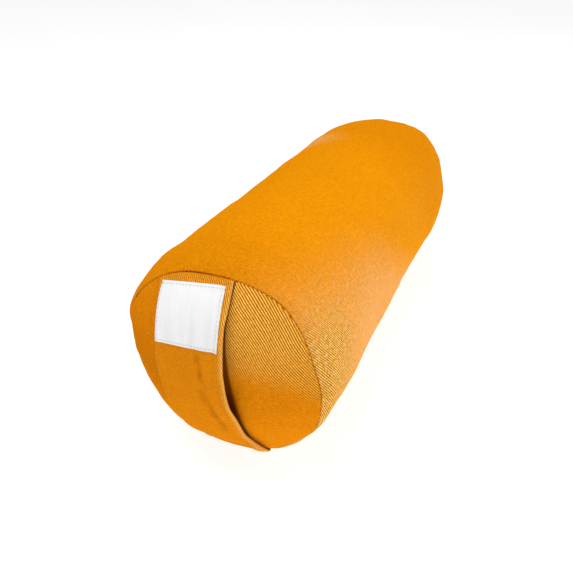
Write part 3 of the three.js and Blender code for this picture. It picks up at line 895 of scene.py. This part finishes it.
def make_band(rows=236, face_cols=176, turn_cols=9, back_cols=22):
    half = BAND_WIDTH / 2
    # round the cross-section: outer face left to right, right turn, inner face, left turn
    uu, dd, cc = [], [], []
    r = BAND_THICK / 2
    path = 0.0
    face = np.linspace(-half + r, half - r, face_cols)
    for x in face:
        uu.append(x); dd.append(0.0); cc.append(x)
    for a in np.linspace(0, math.pi, turn_cols + 2)[1:-1]:
        uu.append(half - r + r * math.sin(a)); dd.append((1 - math.cos(a)) / 2); cc.append(half - r + r * a)
    start = half - r + r * math.pi
    for i, x in enumerate(np.linspace(half - r, -half + r, back_cols)):
        uu.append(x); dd.append(1.0); cc.append(start + (half - r - x))
    start = start + 2 * (half - r)
    for a in np.linspace(0, math.pi, turn_cols + 2)[1:-1]:
        uu.append(-half + r - r * math.sin(a)); dd.append((1 + math.cos(a)) / 2); cc.append(start + r * a)
    uu, dd, cc = np.array(uu), np.array(dd), np.array(cc)
    full = start + r * math.pi
    t = np.sin(np.linspace(-1, 1, rows) * math.radians(76)) / math.sin(math.radians(76))
    top, low = seam_top(uu), seam_low(uu)
    gap = 0.35
    v = np.where(t[:, None] > 0, t[:, None] * (top - gap), -t[:, None] * (low + gap))
    u = uu[None, :] + 0 * v
    d = dd[None, :] + 0 * v
    # the lower right corner juts out past the seam, the edges wander slightly
    corner = np.exp(-((half - u) / 7.0)**2) * np.exp(-((v - low[None, :]) / 6.0)**2)
    edge_wave = 0.35 * np.sin(v / 11.0 + 0.6) * smooth(half - 9, half, np.abs(u)) * np.sign(u)
    edge_wave = edge_wave + 1.3 * smooth(42, 62, v) * smooth(8, half, u) + 1.0 * np.exp(-((v + 61) / 8.0)**2) * smooth(14, half, u)
    edge_wave = edge_wave - 0.9 * np.exp(-((v + 2) / 16.0)**2) * smooth(10, half, u)
    edge_wave = edge_wave - 3.5 * np.exp(-((v + 40) / 15.0)**2) * smooth(10, half, u)
    p = band_face(u + edge_wave, v, d)
    # ends turn into the seam
    s_top = np.maximum(top[None, :] - v, 0) * 1.25
    s_low = np.maximum(v - low[None, :], 0) * 1.25
    th = np.arctan2(p[..., 2], p[..., 0])
    _, _, n0, _ = front_seam.frame(th[0])
    _, _, n1, _ = front_seam.frame(th[-1])
    p = p + n1[None] * turn_in(s_top)[..., None] * 1.25
    keep = 1 - smooth(half - 9, half - 2, uu)     # the lower right corner isn't drawn in as far
    p = p + n0[None] * (turn_in(s_low) * (0.25 + 1.0 * keep[None, :]))[..., None]
    p = p + corner[..., None] * np.array([-0.6, -0.5, -1.0])
    n = grid_normals(p, wrap=True)
    n = n * np.sign((n[..., 1:2] * np.where(d[..., None] < 0.5, -1, 1)) + 1e-9).mean()
    arc = np.r_[0, np.cumsum(np.linalg.norm(np.diff(p[:, face_cols // 2], axis=0), axis=1))]
    arc = arc - arc[-1] / 2
    at_c = np.r_[cc, full]
    phase = (at_c[None, :] * math.cos(BAND_RIB_LEAN) + arc[:, None] * math.sin(BAND_RIB_LEAN)) / RIB
    at = np.stack([at_c[None, :] + 0 * phase, arc[:, None] + 0 * phase, 0 * phase], -1)
    phase = phase + 0.16 * noise(at, 40.0, 81) + 0.06 * noise(at, 12.0, 82)
    ends = smooth(0, 3, s_top) * smooth(0, 3, s_low)
    h = RIB_HIGH * (rib_profile(phase[:, :-1]) - 0.6) * (0.3 + 0.7 * ends)
    p = p + n * h[..., None]
    # painted highlight along the turned edges, stronger on the right one
    painted_edge_highlight = np.where(uu > 0, 1.0, 0.65) * (0.12 * smooth(half - 2.8, half - 1.4, np.abs(uu)) + 0.50 * smooth(half - 1.2, half - 0.3, np.abs(uu)))
    painted_edge_highlight = np.r_[painted_edge_highlight, painted_edge_highlight[0]][None, :] + 0 * phase
    # painted shade where the band's ends turn into the seam
    shade = np.maximum(0.35 * np.exp(-(s_top / 0.45)**2), np.exp(-(s_low / 0.45)**2) * keep[None, :])
    # the underside of the open edge lies in shade
    shade = np.maximum(shade, 1.9 * (smooth(0.55, 0.85, dd) * (uu > 0))[None, :] * smooth(1, 9, s_top))
    shade = np.concatenate([shade, shade[:, :1]], 1)
    # painted shade in the two soft troughs
    painted_shade = np.zeros_like(u)
    for u0, v0, u1, v1, half_wide, depth in BAND_FOLDS[:2]:
        along = np.array([u1 - u0, v1 - v0]) / math.hypot(u1 - u0, v1 - v0)
        run = (u - u0) * along[0] + (v - v0) * along[1]
        off = (u - u0) * along[1] - (v - v0) * along[0]
        painted_shade = np.maximum(painted_shade, np.exp(-(off / (0.8 * half_wide))**2) * smooth(-6, 5, run) * smooth(-8, 6, math.hypot(u1 - u0, v1 - v0) - run))
    painted_shade = painted_shade * (d < 0.5) * (0.75 + 0.25 * noise(np.stack([u, v, 0 * u], -1), 9.0, 83))
    painted_shade = np.clip(painted_shade, 0, 1)
    shade = np.maximum(shade, 0.68 * np.concatenate([painted_shade, painted_shade[:, :1]], 1))
    # how strongly the rib colours are painted on the band: more towards the top and along the right edge
    ribs = 0.10 + 0.32 * smooth(38, 62, arc)[:, None] + 0.45 * smooth(half - 4, half - 1.6, np.r_[uu, uu[0]])[None, :]
    val = values(at_c[None, :] + 0 * phase, arc[:, None] + 0 * phase, phase, painted_edge_highlight, shade, 0 * phase, ribs + 0 * phase)
    # tails inside the seam
    def tail(row, n_row, depth, inward):
        q = p[row].copy()
        return q - n_row * depth + inward
    in_top = np.array([0, 0.5, 0.0])
    s0, _, _, _ = front_seam.frame(th[0])
    low_tail = [p[0] * 0.55 + (s0 - n0 * 1.4) * 0.45, s0 - n0 * 2.8 + (p[0] - s0) * 0.12]
    rows_p = low_tail[::-1] + list(p) + [tail(-1, n1, 1.2, in_top * 0.6), tail(-1, n1, 2.4, in_top * 1.2)]
    val_rows = [val[0], val[0]] + list(val) + [val[-1], val[-1]]
    # close both ends with a cap
    def cap(q):
        m = q.mean(0)
        return np.repeat(m[None], len(q), 0)
    rows_p = [cap(rows_p[0])] + rows_p + [cap(rows_p[-1])]
    val_rows = [val[0]] + val_rows + [val[-1]]
    b = Builder()
    b.grid(np.array(rows_p), np.array(val_rows), wrap=True)
    return b.mesh("handle_band_cloth"), arc[-1] * 2


# ---------------------------------------------------------------------------
# The label, bare, and its stitches
# ---------------------------------------------------------------------------
def label_edges(f, g):
    """The label's place on the band: f, g run from 0 to 1 across and up, with slightly bowed edges."""
    left = LABEL_LEFT + 0.5 * np.sin(math.pi * g) + 2.2 * g**3
    right = LABEL_LEFT + LABEL_WIDTH + 0.2 + 0.8 * g - 0.4 * g**3
    low = LABEL_BOTTOM + 1.1 * f + 0.5 * f * (1 - f)
    high = LABEL_TOP + 0.8 * f + 6.0 * f * (1 - f)
    return left * (1 - f) + right * f, low * (1 - g) + high * g


def label_face(f, g, high):
    u, v = label_edges(f, g)
    p = band_face(u, v)
    e = 0.4
    n = unit(np.cross(band_face(u + e, v) - band_face(u - e, v), band_face(u, v + e) - band_face(u, v - e)))
    n = n * np.sign(-n[..., 1:2])
    return p + n * np.asarray(high)[..., None], n


def stitch_row(count, fixed, along_f, start, end):
    t = (np.arange(count) + 0.5) / count
    x = start + (end - start) * t
    return (x, 0 * x + fixed) if along_f else (0 * x + fixed, x)


LABEL_STITCH_IN = 1.5
LABEL_HIGH = (LABEL_TOP - LABEL_BOTTOM)
STITCH_ROWS = [
    (18, 1 - LABEL_STITCH_IN / LABEL_HIGH, True), (18, LABEL_STITCH_IN / LABEL_HIGH, True),
    (14, LABEL_STITCH_IN / LABEL_WIDTH, False), (14, 1 - LABEL_STITCH_IN / LABEL_WIDTH, False)]


def make_label(cols=110, rows=84):
    inset_f, inset_g = LABEL_STITCH_IN / LABEL_WIDTH, LABEL_STITCH_IN / LABEL_HIGH
    ease = lambda k: 0.5 - 0.5 * np.cos(math.pi * np.linspace(0, 1, k)) * (0.55 + 0.45 * np.abs(np.cos(math.pi * np.linspace(0, 1, k))))
    f0, g0 = ease(cols), ease(rows)
    f0, g0 = (f0 - f0[0]) / (f0[-1] - f0[0]), (g0 - g0[0]) / (g0[-1] - g0[0])
    F, G = np.meshgrid(f0, g0)
    df = np.minimum(F, 1 - F) * LABEL_WIDTH
    dg = np.minimum(G, 1 - G) * LABEL_HIGH * 1.28
    d = np.minimum(df, dg)
    high = 0.42 + 0.5 * (1 - np.exp(-d / 0.28))
    # the body of the label lies a little lower than its turned and stitched edge
    high = high - 0.16 * smooth(2.4, 3.6, d)
    x, y = F * LABEL_WIDTH, G * LABEL_HIGH * 1.28
    ripple = np.stack([x, y * 0.35, 0 * x], -1)
    high = high + smooth(1.5, 6, d) * (0.30 * noise(ripple, 13.0, 91) + 0.16 * np.cos((x - 30.5) / 2.6) * np.exp(-((x - 31) / 6.0)**2))
    for count, fixed, along in STITCH_ROWS:
        t = F if along else G
        across = (G - fixed) * LABEL_HIGH * 1.28 if along else (F - fixed) * LABEL_WIDTH
        hole = (0.5 + 0.5 * np.cos(2 * math.pi * t * count))**3
        high = high - 0.22 * hole * np.exp(-(across / 0.45)**2) - 0.08 * np.exp(-(across / 0.6)**2)
    top, n = label_face(F, G, high)
    low, _ = label_face(F, G, 0 * F + 0.12)
    # painted shade in the needle holes beside the stitches
    hole_shade = 0 * F
    for count, fixed, along in STITCH_ROWS:
        t = F if along else G
        across = (G - fixed) * LABEL_HIGH * 1.28 if along else (F - fixed) * LABEL_WIDTH
        hole_shade = np.maximum(hole_shade, (0.5 + 0.5 * np.cos(2 * math.pi * t * count))**4 * np.exp(-(across / 0.4)**2))
    # painted shade: darker towards the bottom and the right, and in soft vertical streaks where the label ripples
    painted_shade = 0.75 * (1 - G)**1.3 * (0.45 + 0.55 * F)
    painted_shade = painted_shade + 0.5 * np.exp(-((F - 0.60 - 0.03 * G) / 0.035)**2) * smooth(0.75, 0.15, G)
    painted_shade = painted_shade + 0.35 * np.exp(-((F - 0.83) / 0.05)**2) * smooth(0.9, 0.3, G)
    painted_shade = painted_shade + 0.35 * np.exp(-((F - 0.22) / 0.06)**2) * smooth(0.8, 0.2, G)
    val = values(x, y, 0 * x, np.exp(-d / 0.8), hole_shade, painted_shade)
    b = Builder()
    b.grid(top, val)
    b.grid(low[:, ::-1], val[:, ::-1])
    def border(t):
        return np.concatenate([t[0, :-1], t[:-1, -1], t[-1, :0:-1], t[:0:-1, 0]])
    ring = np.stack([border(low), border(top)])
    ring_v = np.stack([border(val), border(val)])
    ring_v = np.concatenate([ring_v, ring_v[:, :1]], 1)
    b.grid(ring, ring_v, wrap=True)
    return b.mesh("label_cloth")


def threads(name, lines, radius, sides=6):
    """Short lengths of thread along given lines of points, all in one mesh."""
    b = Builder()
    for line in lines:
        line = np.asarray(line, float)
        k = len(line)
        along = unit(np.gradient(line, axis=0))
        ref = np.where(np.abs(along[:, 2:3]) < 0.8, np.array([[0, 0, 1.0]]), np.array([[0, 1.0, 0]]))
        a = unit(np.cross(along, ref))
        c = np.cross(along, a)
        ang = np.linspace(0, 2 * math.pi, sides + 1)[:-1]
        size = np.full(k, radius)
        rows = [line[0][None] + 0 * ang[:, None] - along[0] * radius * 0.7]
        taper = np.ones(k)
        taper[0] = taper[-1] = 0.6
        for i in range(k):
            rows.append(line[i] + size[i] * taper[i] * (np.cos(ang)[:, None] * a[i] + np.sin(ang)[:, None] * c[i]))
        rows.append(line[-1][None] + 0 * ang[:, None] + along[-1] * radius * 0.7)
        rows = np.array(rows)
        s = np.arange(len(rows))[:, None] * 0.4
        val = values(s + 0 * np.r_[ang, 0][None, :], np.r_[ang, 2 * math.pi][None, :] * radius, 0 * s, 0 * s)
        b.grid(rows, val, wrap=True)
    return b.mesh(name, weld=0.0005)


def label_threads():
    lines = []
    for count, fixed, along in STITCH_ROWS:
        for k in range(count):
            t = np.linspace((k + 0.14) / count, (k + 0.86) / count, 6)
            f, g = (t, 0 * t + fixed) if along else (0 * t + fixed, t)
            lift = 0.80 + 0.12 * np.sin(np.linspace(0, math.pi, 6)) - 0.20 * (np.abs(np.linspace(-1, 1, 6))**6)
            lines.append(label_face(f, g, lift)[0])
    return threads("label_stitches", lines, 0.17)


def seam_threads(name, seam, seed):
    rng = np.random.RandomState(seed)
    lines = []
    count = int(round(2 * math.pi * 75.8 / STITCH))
    for k in range(count):
        th0 = 2 * math.pi * (k + 0.08 * rng.uniform(-1, 1)) / count
        th = th0 + np.linspace(-0.5, 0.5, 5) * (0.55 + 0.25 * rng.uniform(-1, 1)) / 75.8
        p0, across, n, along = seam.frame(th)
        if p0[:, 2].min() < -AXIS_HEIGHT + 1.2:
            continue
        b = np.linspace(-0.72, 0.72, 5) + sideways(th, 1.0)
        dip = -0.72 - 0.25 * np.abs(np.linspace(-1, 1, 5))**2 + 0.1 * rng.uniform(-1, 1)
        lines.append(p0 + across * b[:, None] + n * dip[:, None])
    return threads(name, lines, 0.27)


# ---------------------------------------------------------------------------
# Materials
# ---------------------------------------------------------------------------
def new_material(name):
    m = bpy.data.materials.new(name)
    m.use_nodes = True
    t = m.node_tree
    for n in list(t.nodes):
        t.nodes.remove(n)
    out = t.nodes.new("ShaderNodeOutputMaterial")
    bsdf = t.nodes.new("ShaderNodeBsdfPrincipled")
    t.links.new(bsdf.outputs[0], out.inputs["Surface"])
    return m, t, bsdf


def maths(t, op, a, b=None, clamp=False):
    n = t.nodes.new("ShaderNodeMath")
    n.operation = op
    n.use_clamp = clamp
    for i, x in enumerate((a, b)):
        if x is None:
            continue
        if isinstance(x, (int, float)):
            n.inputs[i].default_value = x
        else:
            t.links.new(x, n.inputs[i])
    return n.outputs[0]


def mix_colour(t, fac, a, b, kind="MIX"):
    n = t.nodes.new("ShaderNodeMix")
    n.data_type = "RGBA"
    n.blend_type = kind
    n.clamp_result = False
    for sock, x in ((n.inputs[0], fac), (n.inputs[6], a), (n.inputs[7], b)):
        if isinstance(x, (int, float)):
            sock.default_value = x
        elif isinstance(x, (tuple, list)):
            sock.default_value = tuple(x) + (1,) if len(x) == 3 else x
        else:
            t.links.new(x, sock)
    return n.outputs[2]


def noise_node(t, vector, scale, detail=2.0, rough=0.5, stretch=None):
    v = vector
    if stretch:
        m = t.nodes.new("ShaderNodeVectorMath")
        m.operation = "MULTIPLY"
        m.inputs[1].default_value = stretch
        t.links.new(v, m.inputs[0])
        v = m.outputs[0]
    n = t.nodes.new("ShaderNodeTexNoise")
    n.inputs["Scale"].default_value = scale
    n.inputs["Detail"].default_value = detail
    n.inputs["Roughness"].default_value = rough
    t.links.new(v, n.inputs["Vector"])
    return n.outputs["Fac"]


def spread(t, value, lo, hi, to_lo=0.0, to_hi=1.0):
    n = t.nodes.new("ShaderNodeMapRange")
    n.interpolation_type = "SMOOTHSTEP"
    for name, x in (("From Min", lo), ("From Max", hi), ("To Min", to_lo), ("To Max", to_hi)):
        n.inputs[name].default_value = x
    t.links.new(value, n.inputs["Value"])
    return n.outputs["Result"]


def twill(name, middle, dark, light, crest, rib_bump, nap_size, grain_size=1.0, faint=0.2):
    """Cotton twill: ribs, the yarns that cross them, slubs, grain and soft colour changes."""
    m, t, bsdf = new_material(name)
    at = t.nodes.new("ShaderNodeAttribute")
    at.attribute_name = "cloth"
    tone = t.nodes.new("ShaderNodeAttribute")
    tone.attribute_name = "tone"
    rib_paint_attr = t.nodes.new("ShaderNodeAttribute")
    rib_paint_attr.attribute_name = "ribs"
    sep = t.nodes.new("ShaderNodeSeparateXYZ")
    t.links.new(at.outputs["Vector"], sep.inputs[0])
    tsep = t.nodes.new("ShaderNodeSeparateXYZ")
    t.links.new(tone.outputs["Vector"], tsep.inputs[0])
    # the second tone is painted shade in seams, creases and under the band; fade is the painted sheen on the flank
    seam, fade = tsep.outputs[1], tsep.outputs[2]
    # the first tone above zero is a painted highlight on the band's turned edges, below zero painted shade that dims
    # the cloth
    painted_edge_highlight = maths(t, "MAXIMUM", tsep.outputs[0], 0.0)
    painted_dimming = maths(t, "MULTIPLY", maths(t, "MINIMUM", tsep.outputs[0], 0.0), 0.10)
    flat = t.nodes.new("ShaderNodeCombineXYZ")
    t.links.new(sep.outputs[0], flat.inputs[0])
    t.links.new(sep.outputs[1], flat.inputs[1])
    cloth = flat.outputs[0]
    phase = sep.outputs[2]
    wobble = maths(t, "MULTIPLY", maths(t, "SUBTRACT", noise_node(t, cloth, 0.55, 1.0), 0.5), 0.18)
    turns = maths(t, "ADD", phase, wobble)
    half = maths(t, "ADD", maths(t, "MULTIPLY", maths(t, "COSINE", maths(t, "MULTIPLY", turns, 2 * math.pi)), -0.5), 0.5, clamp=True)
    rib = maths(t, "POWER", half, 0.80)
    # yarn crossings along each rib, set off from rib to rib
    run = maths(t, "ADD", maths(t, "MULTIPLY", sep.outputs[0], 4.6), maths(t, "MULTIPLY", sep.outputs[1], 6.2))
    yarn = maths(t, "SINE", maths(t, "ADD", run, maths(t, "MULTIPLY", maths(t, "FLOOR", turns), 2.4)))
    grain = noise_node(t, cloth, 1.0, 2.0, 0.6)
    tuft = noise_node(t, cloth, 0.42, 2.0, 0.65)
    slub = noise_node(t, cloth, 1.0, 2.0, 0.5, stretch=(0.75, 0.08, 1))
    slub2 = noise_node(t, cloth, 1.0, 2.0, 0.5, stretch=(0.08, 0.75, 1))
    broad = noise_node(t, cloth, 0.020, 2.0, 0.5)
    patch = noise_node(t, cloth, 0.085, 2.0, 0.5)

    # rib colours: partly the yarns' own tones, partly painted shade in the valleys and a painted highlight on the
    # crests
    ribbed = mix_colour(t, rib, dark, light)
    painted_dim = maths(t, "MINIMUM", tsep.outputs[0], 0.0)
    bright = maths(t, "ADD", 0.78, maths(t, "MULTIPLY", painted_dim, 0.36))
    ribbed = mix_colour(t, maths(t, "MULTIPLY", maths(t, "POWER", rib, 4.0), bright), ribbed, crest)
    col = mix_colour(t, rib_paint_attr.outputs["Fac"], middle, ribbed)
    lively = maths(t, "ADD", 0.80, maths(t, "ADD", maths(t, "MULTIPLY", rib_paint_attr.outputs["Fac"], 0.5), maths(t, "MULTIPLY", fade, 0.7)))
    amount = maths(t, "MULTIPLY", maths(t, "SUBTRACT", grain, 0.5), 0.55 * grain_size)
    amount = maths(t, "ADD", amount, maths(t, "MULTIPLY", maths(t, "SUBTRACT", tuft, 0.5), 0.55 * grain_size))
    amount = maths(t, "MULTIPLY", amount, lively)
    amount = maths(t, "ADD", amount, maths(t, "ADD", painted_dimming, 1.0))
    for wave, size in ((slub, 0.13), (slub2, 0.12), (broad, 0.10), (patch, 0.07)):
        amount = maths(t, "ADD", amount, maths(t, "MULTIPLY", maths(t, "SUBTRACT", wave, 0.5), size))
    amount = maths(t, "ADD", amount, maths(t, "MULTIPLY", yarn, 0.03))
    soft_rib = maths(t, "MULTIPLY", maths(t, "SUBTRACT", rib, 0.6), maths(t, "SUBTRACT", 1.0, rib_paint_attr.outputs["Fac"], clamp=True))
    amount = maths(t, "ADD", amount, maths(t, "MULTIPLY", soft_rib, faint))
    redder = maths(t, "MULTIPLY", amount, maths(t, "ADD", 1.0, maths(t, "MULTIPLY", painted_dim, 0.05)))
    scale = t.nodes.new("ShaderNodeCombineXYZ")
    for i in range(3):
        t.links.new(redder if i == 1 else amount, scale.inputs[i])
    col = mix_colour(t, 1.0, col, scale.outputs[0], "MULTIPLY")
    # pale fluff caught in the nap, with far more pale speckle where the sheen is painted on the flank
    lint_and_sheen = spread(t, noise_node(t, cloth, 0.30, 3.0, 0.75), 0.50, 0.66)
    lint_and_sheen = maths(t, "MULTIPLY", lint_and_sheen, maths(t, "ADD", 0.02, maths(t, "MULTIPLY", fade, 0.60)))
    col = mix_colour(t, lint_and_sheen, col, (1.0, 0.60, 0.27))
    # painted sheen on the flank, painted highlight on the band's turned edges, painted shade in seams, creases and
    # under the band
    painted_sheen_mix = maths(t, "MULTIPLY", fade, maths(t, "SUBTRACT", 0.42, maths(t, "MULTIPLY", rib_paint_attr.outputs["Fac"], 0.36)))
    col = mix_colour(t, painted_sheen_mix, col, (1.0, 0.52, 0.20))
    col = mix_colour(t, maths(t, "MULTIPLY", painted_edge_highlight, 0.72), col, (1.0, 0.55, 0.13))
    col = mix_colour(t, maths(t, "MULTIPLY", seam, 0.38, clamp=True), col, (0.09, 0.012, 0.0005))
    t.links.new(col, bsdf.inputs["Base Color"])

    height = maths(t, "ADD", maths(t, "MULTIPLY", rib, rib_bump), maths(t, "MULTIPLY", yarn, 0.030))
    height = maths(t, "ADD", height, maths(t, "MULTIPLY", grain, 0.12))
    bump = t.nodes.new("ShaderNodeBump")
    bump.inputs["Strength"].default_value = 1.0
    bump.inputs["Distance"].default_value = 0.001
    t.links.new(height, bump.inputs["Height"])
    t.links.new(bump.outputs[0], bsdf.inputs["Normal"])
    rough = spread(t, rib, 0.0, 1.0, 0.95, 0.78)
    t.links.new(rough, bsdf.inputs["Roughness"])
    bsdf.inputs["Specular IOR Level"].default_value = 0.0
    nap = maths(t, "MULTIPLY", maths(t, "ADD", 0.7, maths(t, "MULTIPLY", patch, 0.6)), nap_size)
    nap = maths(t, "ADD", maths(t, "MULTIPLY", fade, 0.16), nap)
    t.links.new(nap, bsdf.inputs["Sheen Weight"])
    bsdf.inputs["Sheen Roughness"].default_value = 0.45
    bsdf.inputs["Sheen Tint"].default_value = (1.0, 0.58, 0.26, 1)
    return m


def label_material():
    m, t, bsdf = new_material("label_satin")
    at = t.nodes.new("ShaderNodeAttribute")
    at.attribute_name = "cloth"
    tone = t.nodes.new("ShaderNodeAttribute")
    tone.attribute_name = "tone"
    sep = t.nodes.new("ShaderNodeSeparateXYZ")
    t.links.new(at.outputs["Vector"], sep.inputs[0])
    tsep = t.nodes.new("ShaderNodeSeparateXYZ")
    t.links.new(tone.outputs["Vector"], tsep.inputs[0])
    warp = maths(t, "SINE", maths(t, "MULTIPLY", sep.outputs[0], 2 * math.pi / 0.42))
    weft = maths(t, "SINE", maths(t, "MULTIPLY", sep.outputs[1], 2 * math.pi / 0.55))
    weave = maths(t, "MULTIPLY", warp, weft)
    streak = noise_node(t, at.outputs["Vector"], 1.0, 3.0, 0.6, stretch=(0.45, 0.03, 1))
    grain = noise_node(t, at.outputs["Vector"], 1.8, 2.0, 0.5)
    # the streaks are partly the satin's own and partly painted shade of its soft ripples
    amount = maths(t, "ADD", 1.0, maths(t, "MULTIPLY", maths(t, "SUBTRACT", streak, 0.5), 0.17))
    amount = maths(t, "ADD", amount, maths(t, "MULTIPLY", weave, 0.012))
    amount = maths(t, "ADD", amount, maths(t, "MULTIPLY", maths(t, "SUBTRACT", grain, 0.5), 0.05))
    # painted shade from the third tone, darker towards the bottom and in soft streaks
    amount = maths(t, "SUBTRACT", amount, maths(t, "MULTIPLY", tsep.outputs[2], 0.13))
    scale = t.nodes.new("ShaderNodeCombineXYZ")
    for i in range(3):
        t.links.new(amount, scale.inputs[i])
    col = mix_colour(t, 1.0, (1.0, 1.0, 1.0), scale.outputs[0], "MULTIPLY")
    # painted shade in the needle holes
    col = mix_colour(t, maths(t, "MULTIPLY", tsep.outputs[1], 0.75), col, (0.34, 0.34, 0.36))
    t.links.new(col, bsdf.inputs["Base Color"])
    height = maths(t, "ADD", maths(t, "MULTIPLY", weave, 0.02), maths(t, "MULTIPLY", streak, 0.08))
    bump = t.nodes.new("ShaderNodeBump")
    bump.inputs["Strength"].default_value = 0.8
    bump.inputs["Distance"].default_value = 0.001
    t.links.new(height, bump.inputs["Height"])
    t.links.new(bump.outputs[0], bsdf.inputs["Normal"])
    rough = spread(t, streak, 0.3, 0.7, 0.50, 0.62)
    t.links.new(rough, bsdf.inputs["Roughness"])
    bsdf.inputs["Specular IOR Level"].default_value = 0.35
    bsdf.inputs["Sheen Weight"].default_value = 0.15
    return m


def thread_material(name, colour, pale):
    m, t, bsdf = new_material(name)
    at = t.nodes.new("ShaderNodeAttribute")
    at.attribute_name = "cloth"
    sep = t.nodes.new("ShaderNodeSeparateXYZ")
    t.links.new(at.outputs["Vector"], sep.inputs[0])
    twist = maths(t, "SINE", maths(t, "ADD", maths(t, "MULTIPLY", sep.outputs[0], 9.0), maths(t, "MULTIPLY", sep.outputs[1], 22.0)))
    col = mix_colour(t, maths(t, "ADD", maths(t, "MULTIPLY", twist, 0.4), 0.5), colour, pale)
    t.links.new(col, bsdf.inputs["Base Color"])
    bsdf.inputs["Roughness"].default_value = 0.7
    bsdf.inputs["Specular IOR Level"].default_value = 0.08
    return m


# the panel and band copies are a darker orange than the side's, painted shade for the front faces, which get less
# light; the band's is darker still
side_twill = twill("side_twill", (0.90, 0.306, 0.0014), (0.47, 0.046, 0.0002), (1.0, 0.59, 0.025), (1.0, 0.68, 0.205), 0.22, 0.010, 1.2, 0.10)
panel_twill = twill("panel_twill", (0.86, 0.270, 0.0014), (0.52, 0.050, 0.0001), (1.0, 0.575, 0.012), (1.0, 0.67, 0.205), 0.10, 0.006, 1.0, 0.26)
band_twill = twill("band_twill", (0.80, 0.246, 0.0014), (0.44, 0.080, 0.0004), (1.0, 0.49, 0.02), (1.0, 0.54, 0.12), 0.10, 0.006, 1.0, 0.22)
label_satin = label_material()
orange_thread = thread_material("orange_thread", (0.80, 0.25, 0.006), (0.98, 0.36, 0.02))
white_thread = thread_material("white_thread", (0.70, 0.70, 0.72), (0.9, 0.9, 0.9))

# ---------------------------------------------------------------------------
# Pieces
# ---------------------------------------------------------------------------
body = make_body()
body.data.materials.append(side_twill)
front = make_panel("end_panel_front_cloth", front_seam, 61)
front.data.materials.append(panel_twill)
back = make_panel("end_panel_back_cloth", back_seam, 65, lines=640, steps=36)
back.data.materials.append(panel_twill)
band, band_long = make_band()
band.data.materials.append(band_twill)
label = make_label()
label.data.materials.append(label_satin)
stitches = label_threads()
stitches.data.materials.append(white_thread)
front_thread = seam_threads("front_seam_thread", front_seam, 5)
back_thread = seam_threads("back_seam_thread", back_seam, 6)
for thread in (front_thread, back_thread):
    thread.data.materials.append(orange_thread)

for piece, slot_name in ((body, "side_twill"), (front, "panel_twill"), (back, "panel_twill"), (band, "band_twill"),
                         (label, "label_weave"), (stitches, "label_weave"), (front_thread, "side_twill"),
                         (back_thread, "side_twill")):
    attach(piece, "root")
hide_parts("filled_body")
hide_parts("end_panel_front")
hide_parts("end_panel_back")
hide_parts("handle_band")
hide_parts("label")

# ---------------------------------------------------------------------------
# Floor, light and camera
# ---------------------------------------------------------------------------
floor_mesh = bpy.data.meshes.new("floor")
floor_mesh.from_pydata([(-3, -3, 0), (3, -3, 0), (3, 4, 0), (-3, 4, 0)], [], [(0, 1, 2, 3)])
floor = bpy.data.objects.new("floor", floor_mesh)
bpy.context.scene.collection.objects.link(floor)
floor.location.z = -0.0002
fm, ft, fb = new_material("pale_floor")
fb.inputs["Base Color"].default_value = (0.36, 0.36, 0.36, 1)
fb.inputs["Roughness"].default_value = 0.9
fb.inputs["Specular IOR Level"].default_value = 0.0
fb.inputs["Emission Color"].default_value = (1, 1, 1, 1)
fb.inputs["Emission Strength"].default_value = 0.82
floor.data.materials.append(fm)

world = bpy.data.worlds.new("studio")
bpy.context.scene.world = world
world.use_nodes = True
world.node_tree.nodes["Background"].inputs["Color"].default_value = (1, 1, 1, 1)
world.node_tree.nodes["Background"].inputs["Strength"].default_value = 0.30


def area_light(name, place, target, size, power, colour=(1, 1, 1)):
    data = bpy.data.lights.new(name, "AREA")
    data.shape = "RECTANGLE"
    data.size, data.size_y = size
    data.energy = power
    data.color = colour
    ob = bpy.data.objects.new(name, data)
    bpy.context.scene.collection.objects.link(ob)
    ob.location = place
    ob.rotation_euler = (Vector(target) - Vector(place)).to_track_quat("-Z", "Y").to_euler()
    return ob


area_light("top_softbox", (-0.38, -0.05, 1.40), (0, 0, 0.08), (1.0, 1.1), 12.8)
area_light("backdrop_glow", (1.05, 1.05, 0.42), (0.05, 0, 0.08), (0.9, 0.7), 9.0)
area_light("right_front_fill", (0.95, -1.00, 0.62), (0.02, -0.12, 0.08), (0.8, 0.8), 5.6)
area_light("left_front_fill", (-1.0, -1.2, 0.9), (0, -0.15, 0.08), (0.8, 0.8), 0.5)

cam_data = bpy.data.cameras.new("camera")
cam_data.sensor_width = 36.0
cam_data.lens = 586.796 / 573 * 36.0
cam_data.clip_start = 0.01
camera = bpy.data.objects.new("camera", cam_data)
bpy.context.scene.collection.objects.link(camera)
camera.location = (0.1751943, -0.4327129, 0.3422887)
camera.rotation_euler = Euler((math.pi / 2 - 0.574688, 0, 0.447036), "XYZ")
bpy.context.scene.camera = camera

scene = bpy.context.scene
scene.view_settings.view_transform = "Standard"
scene.view_settings.look = "None"
scene.view_settings.exposure = 0.0
scene.view_settings.gamma = 1.0
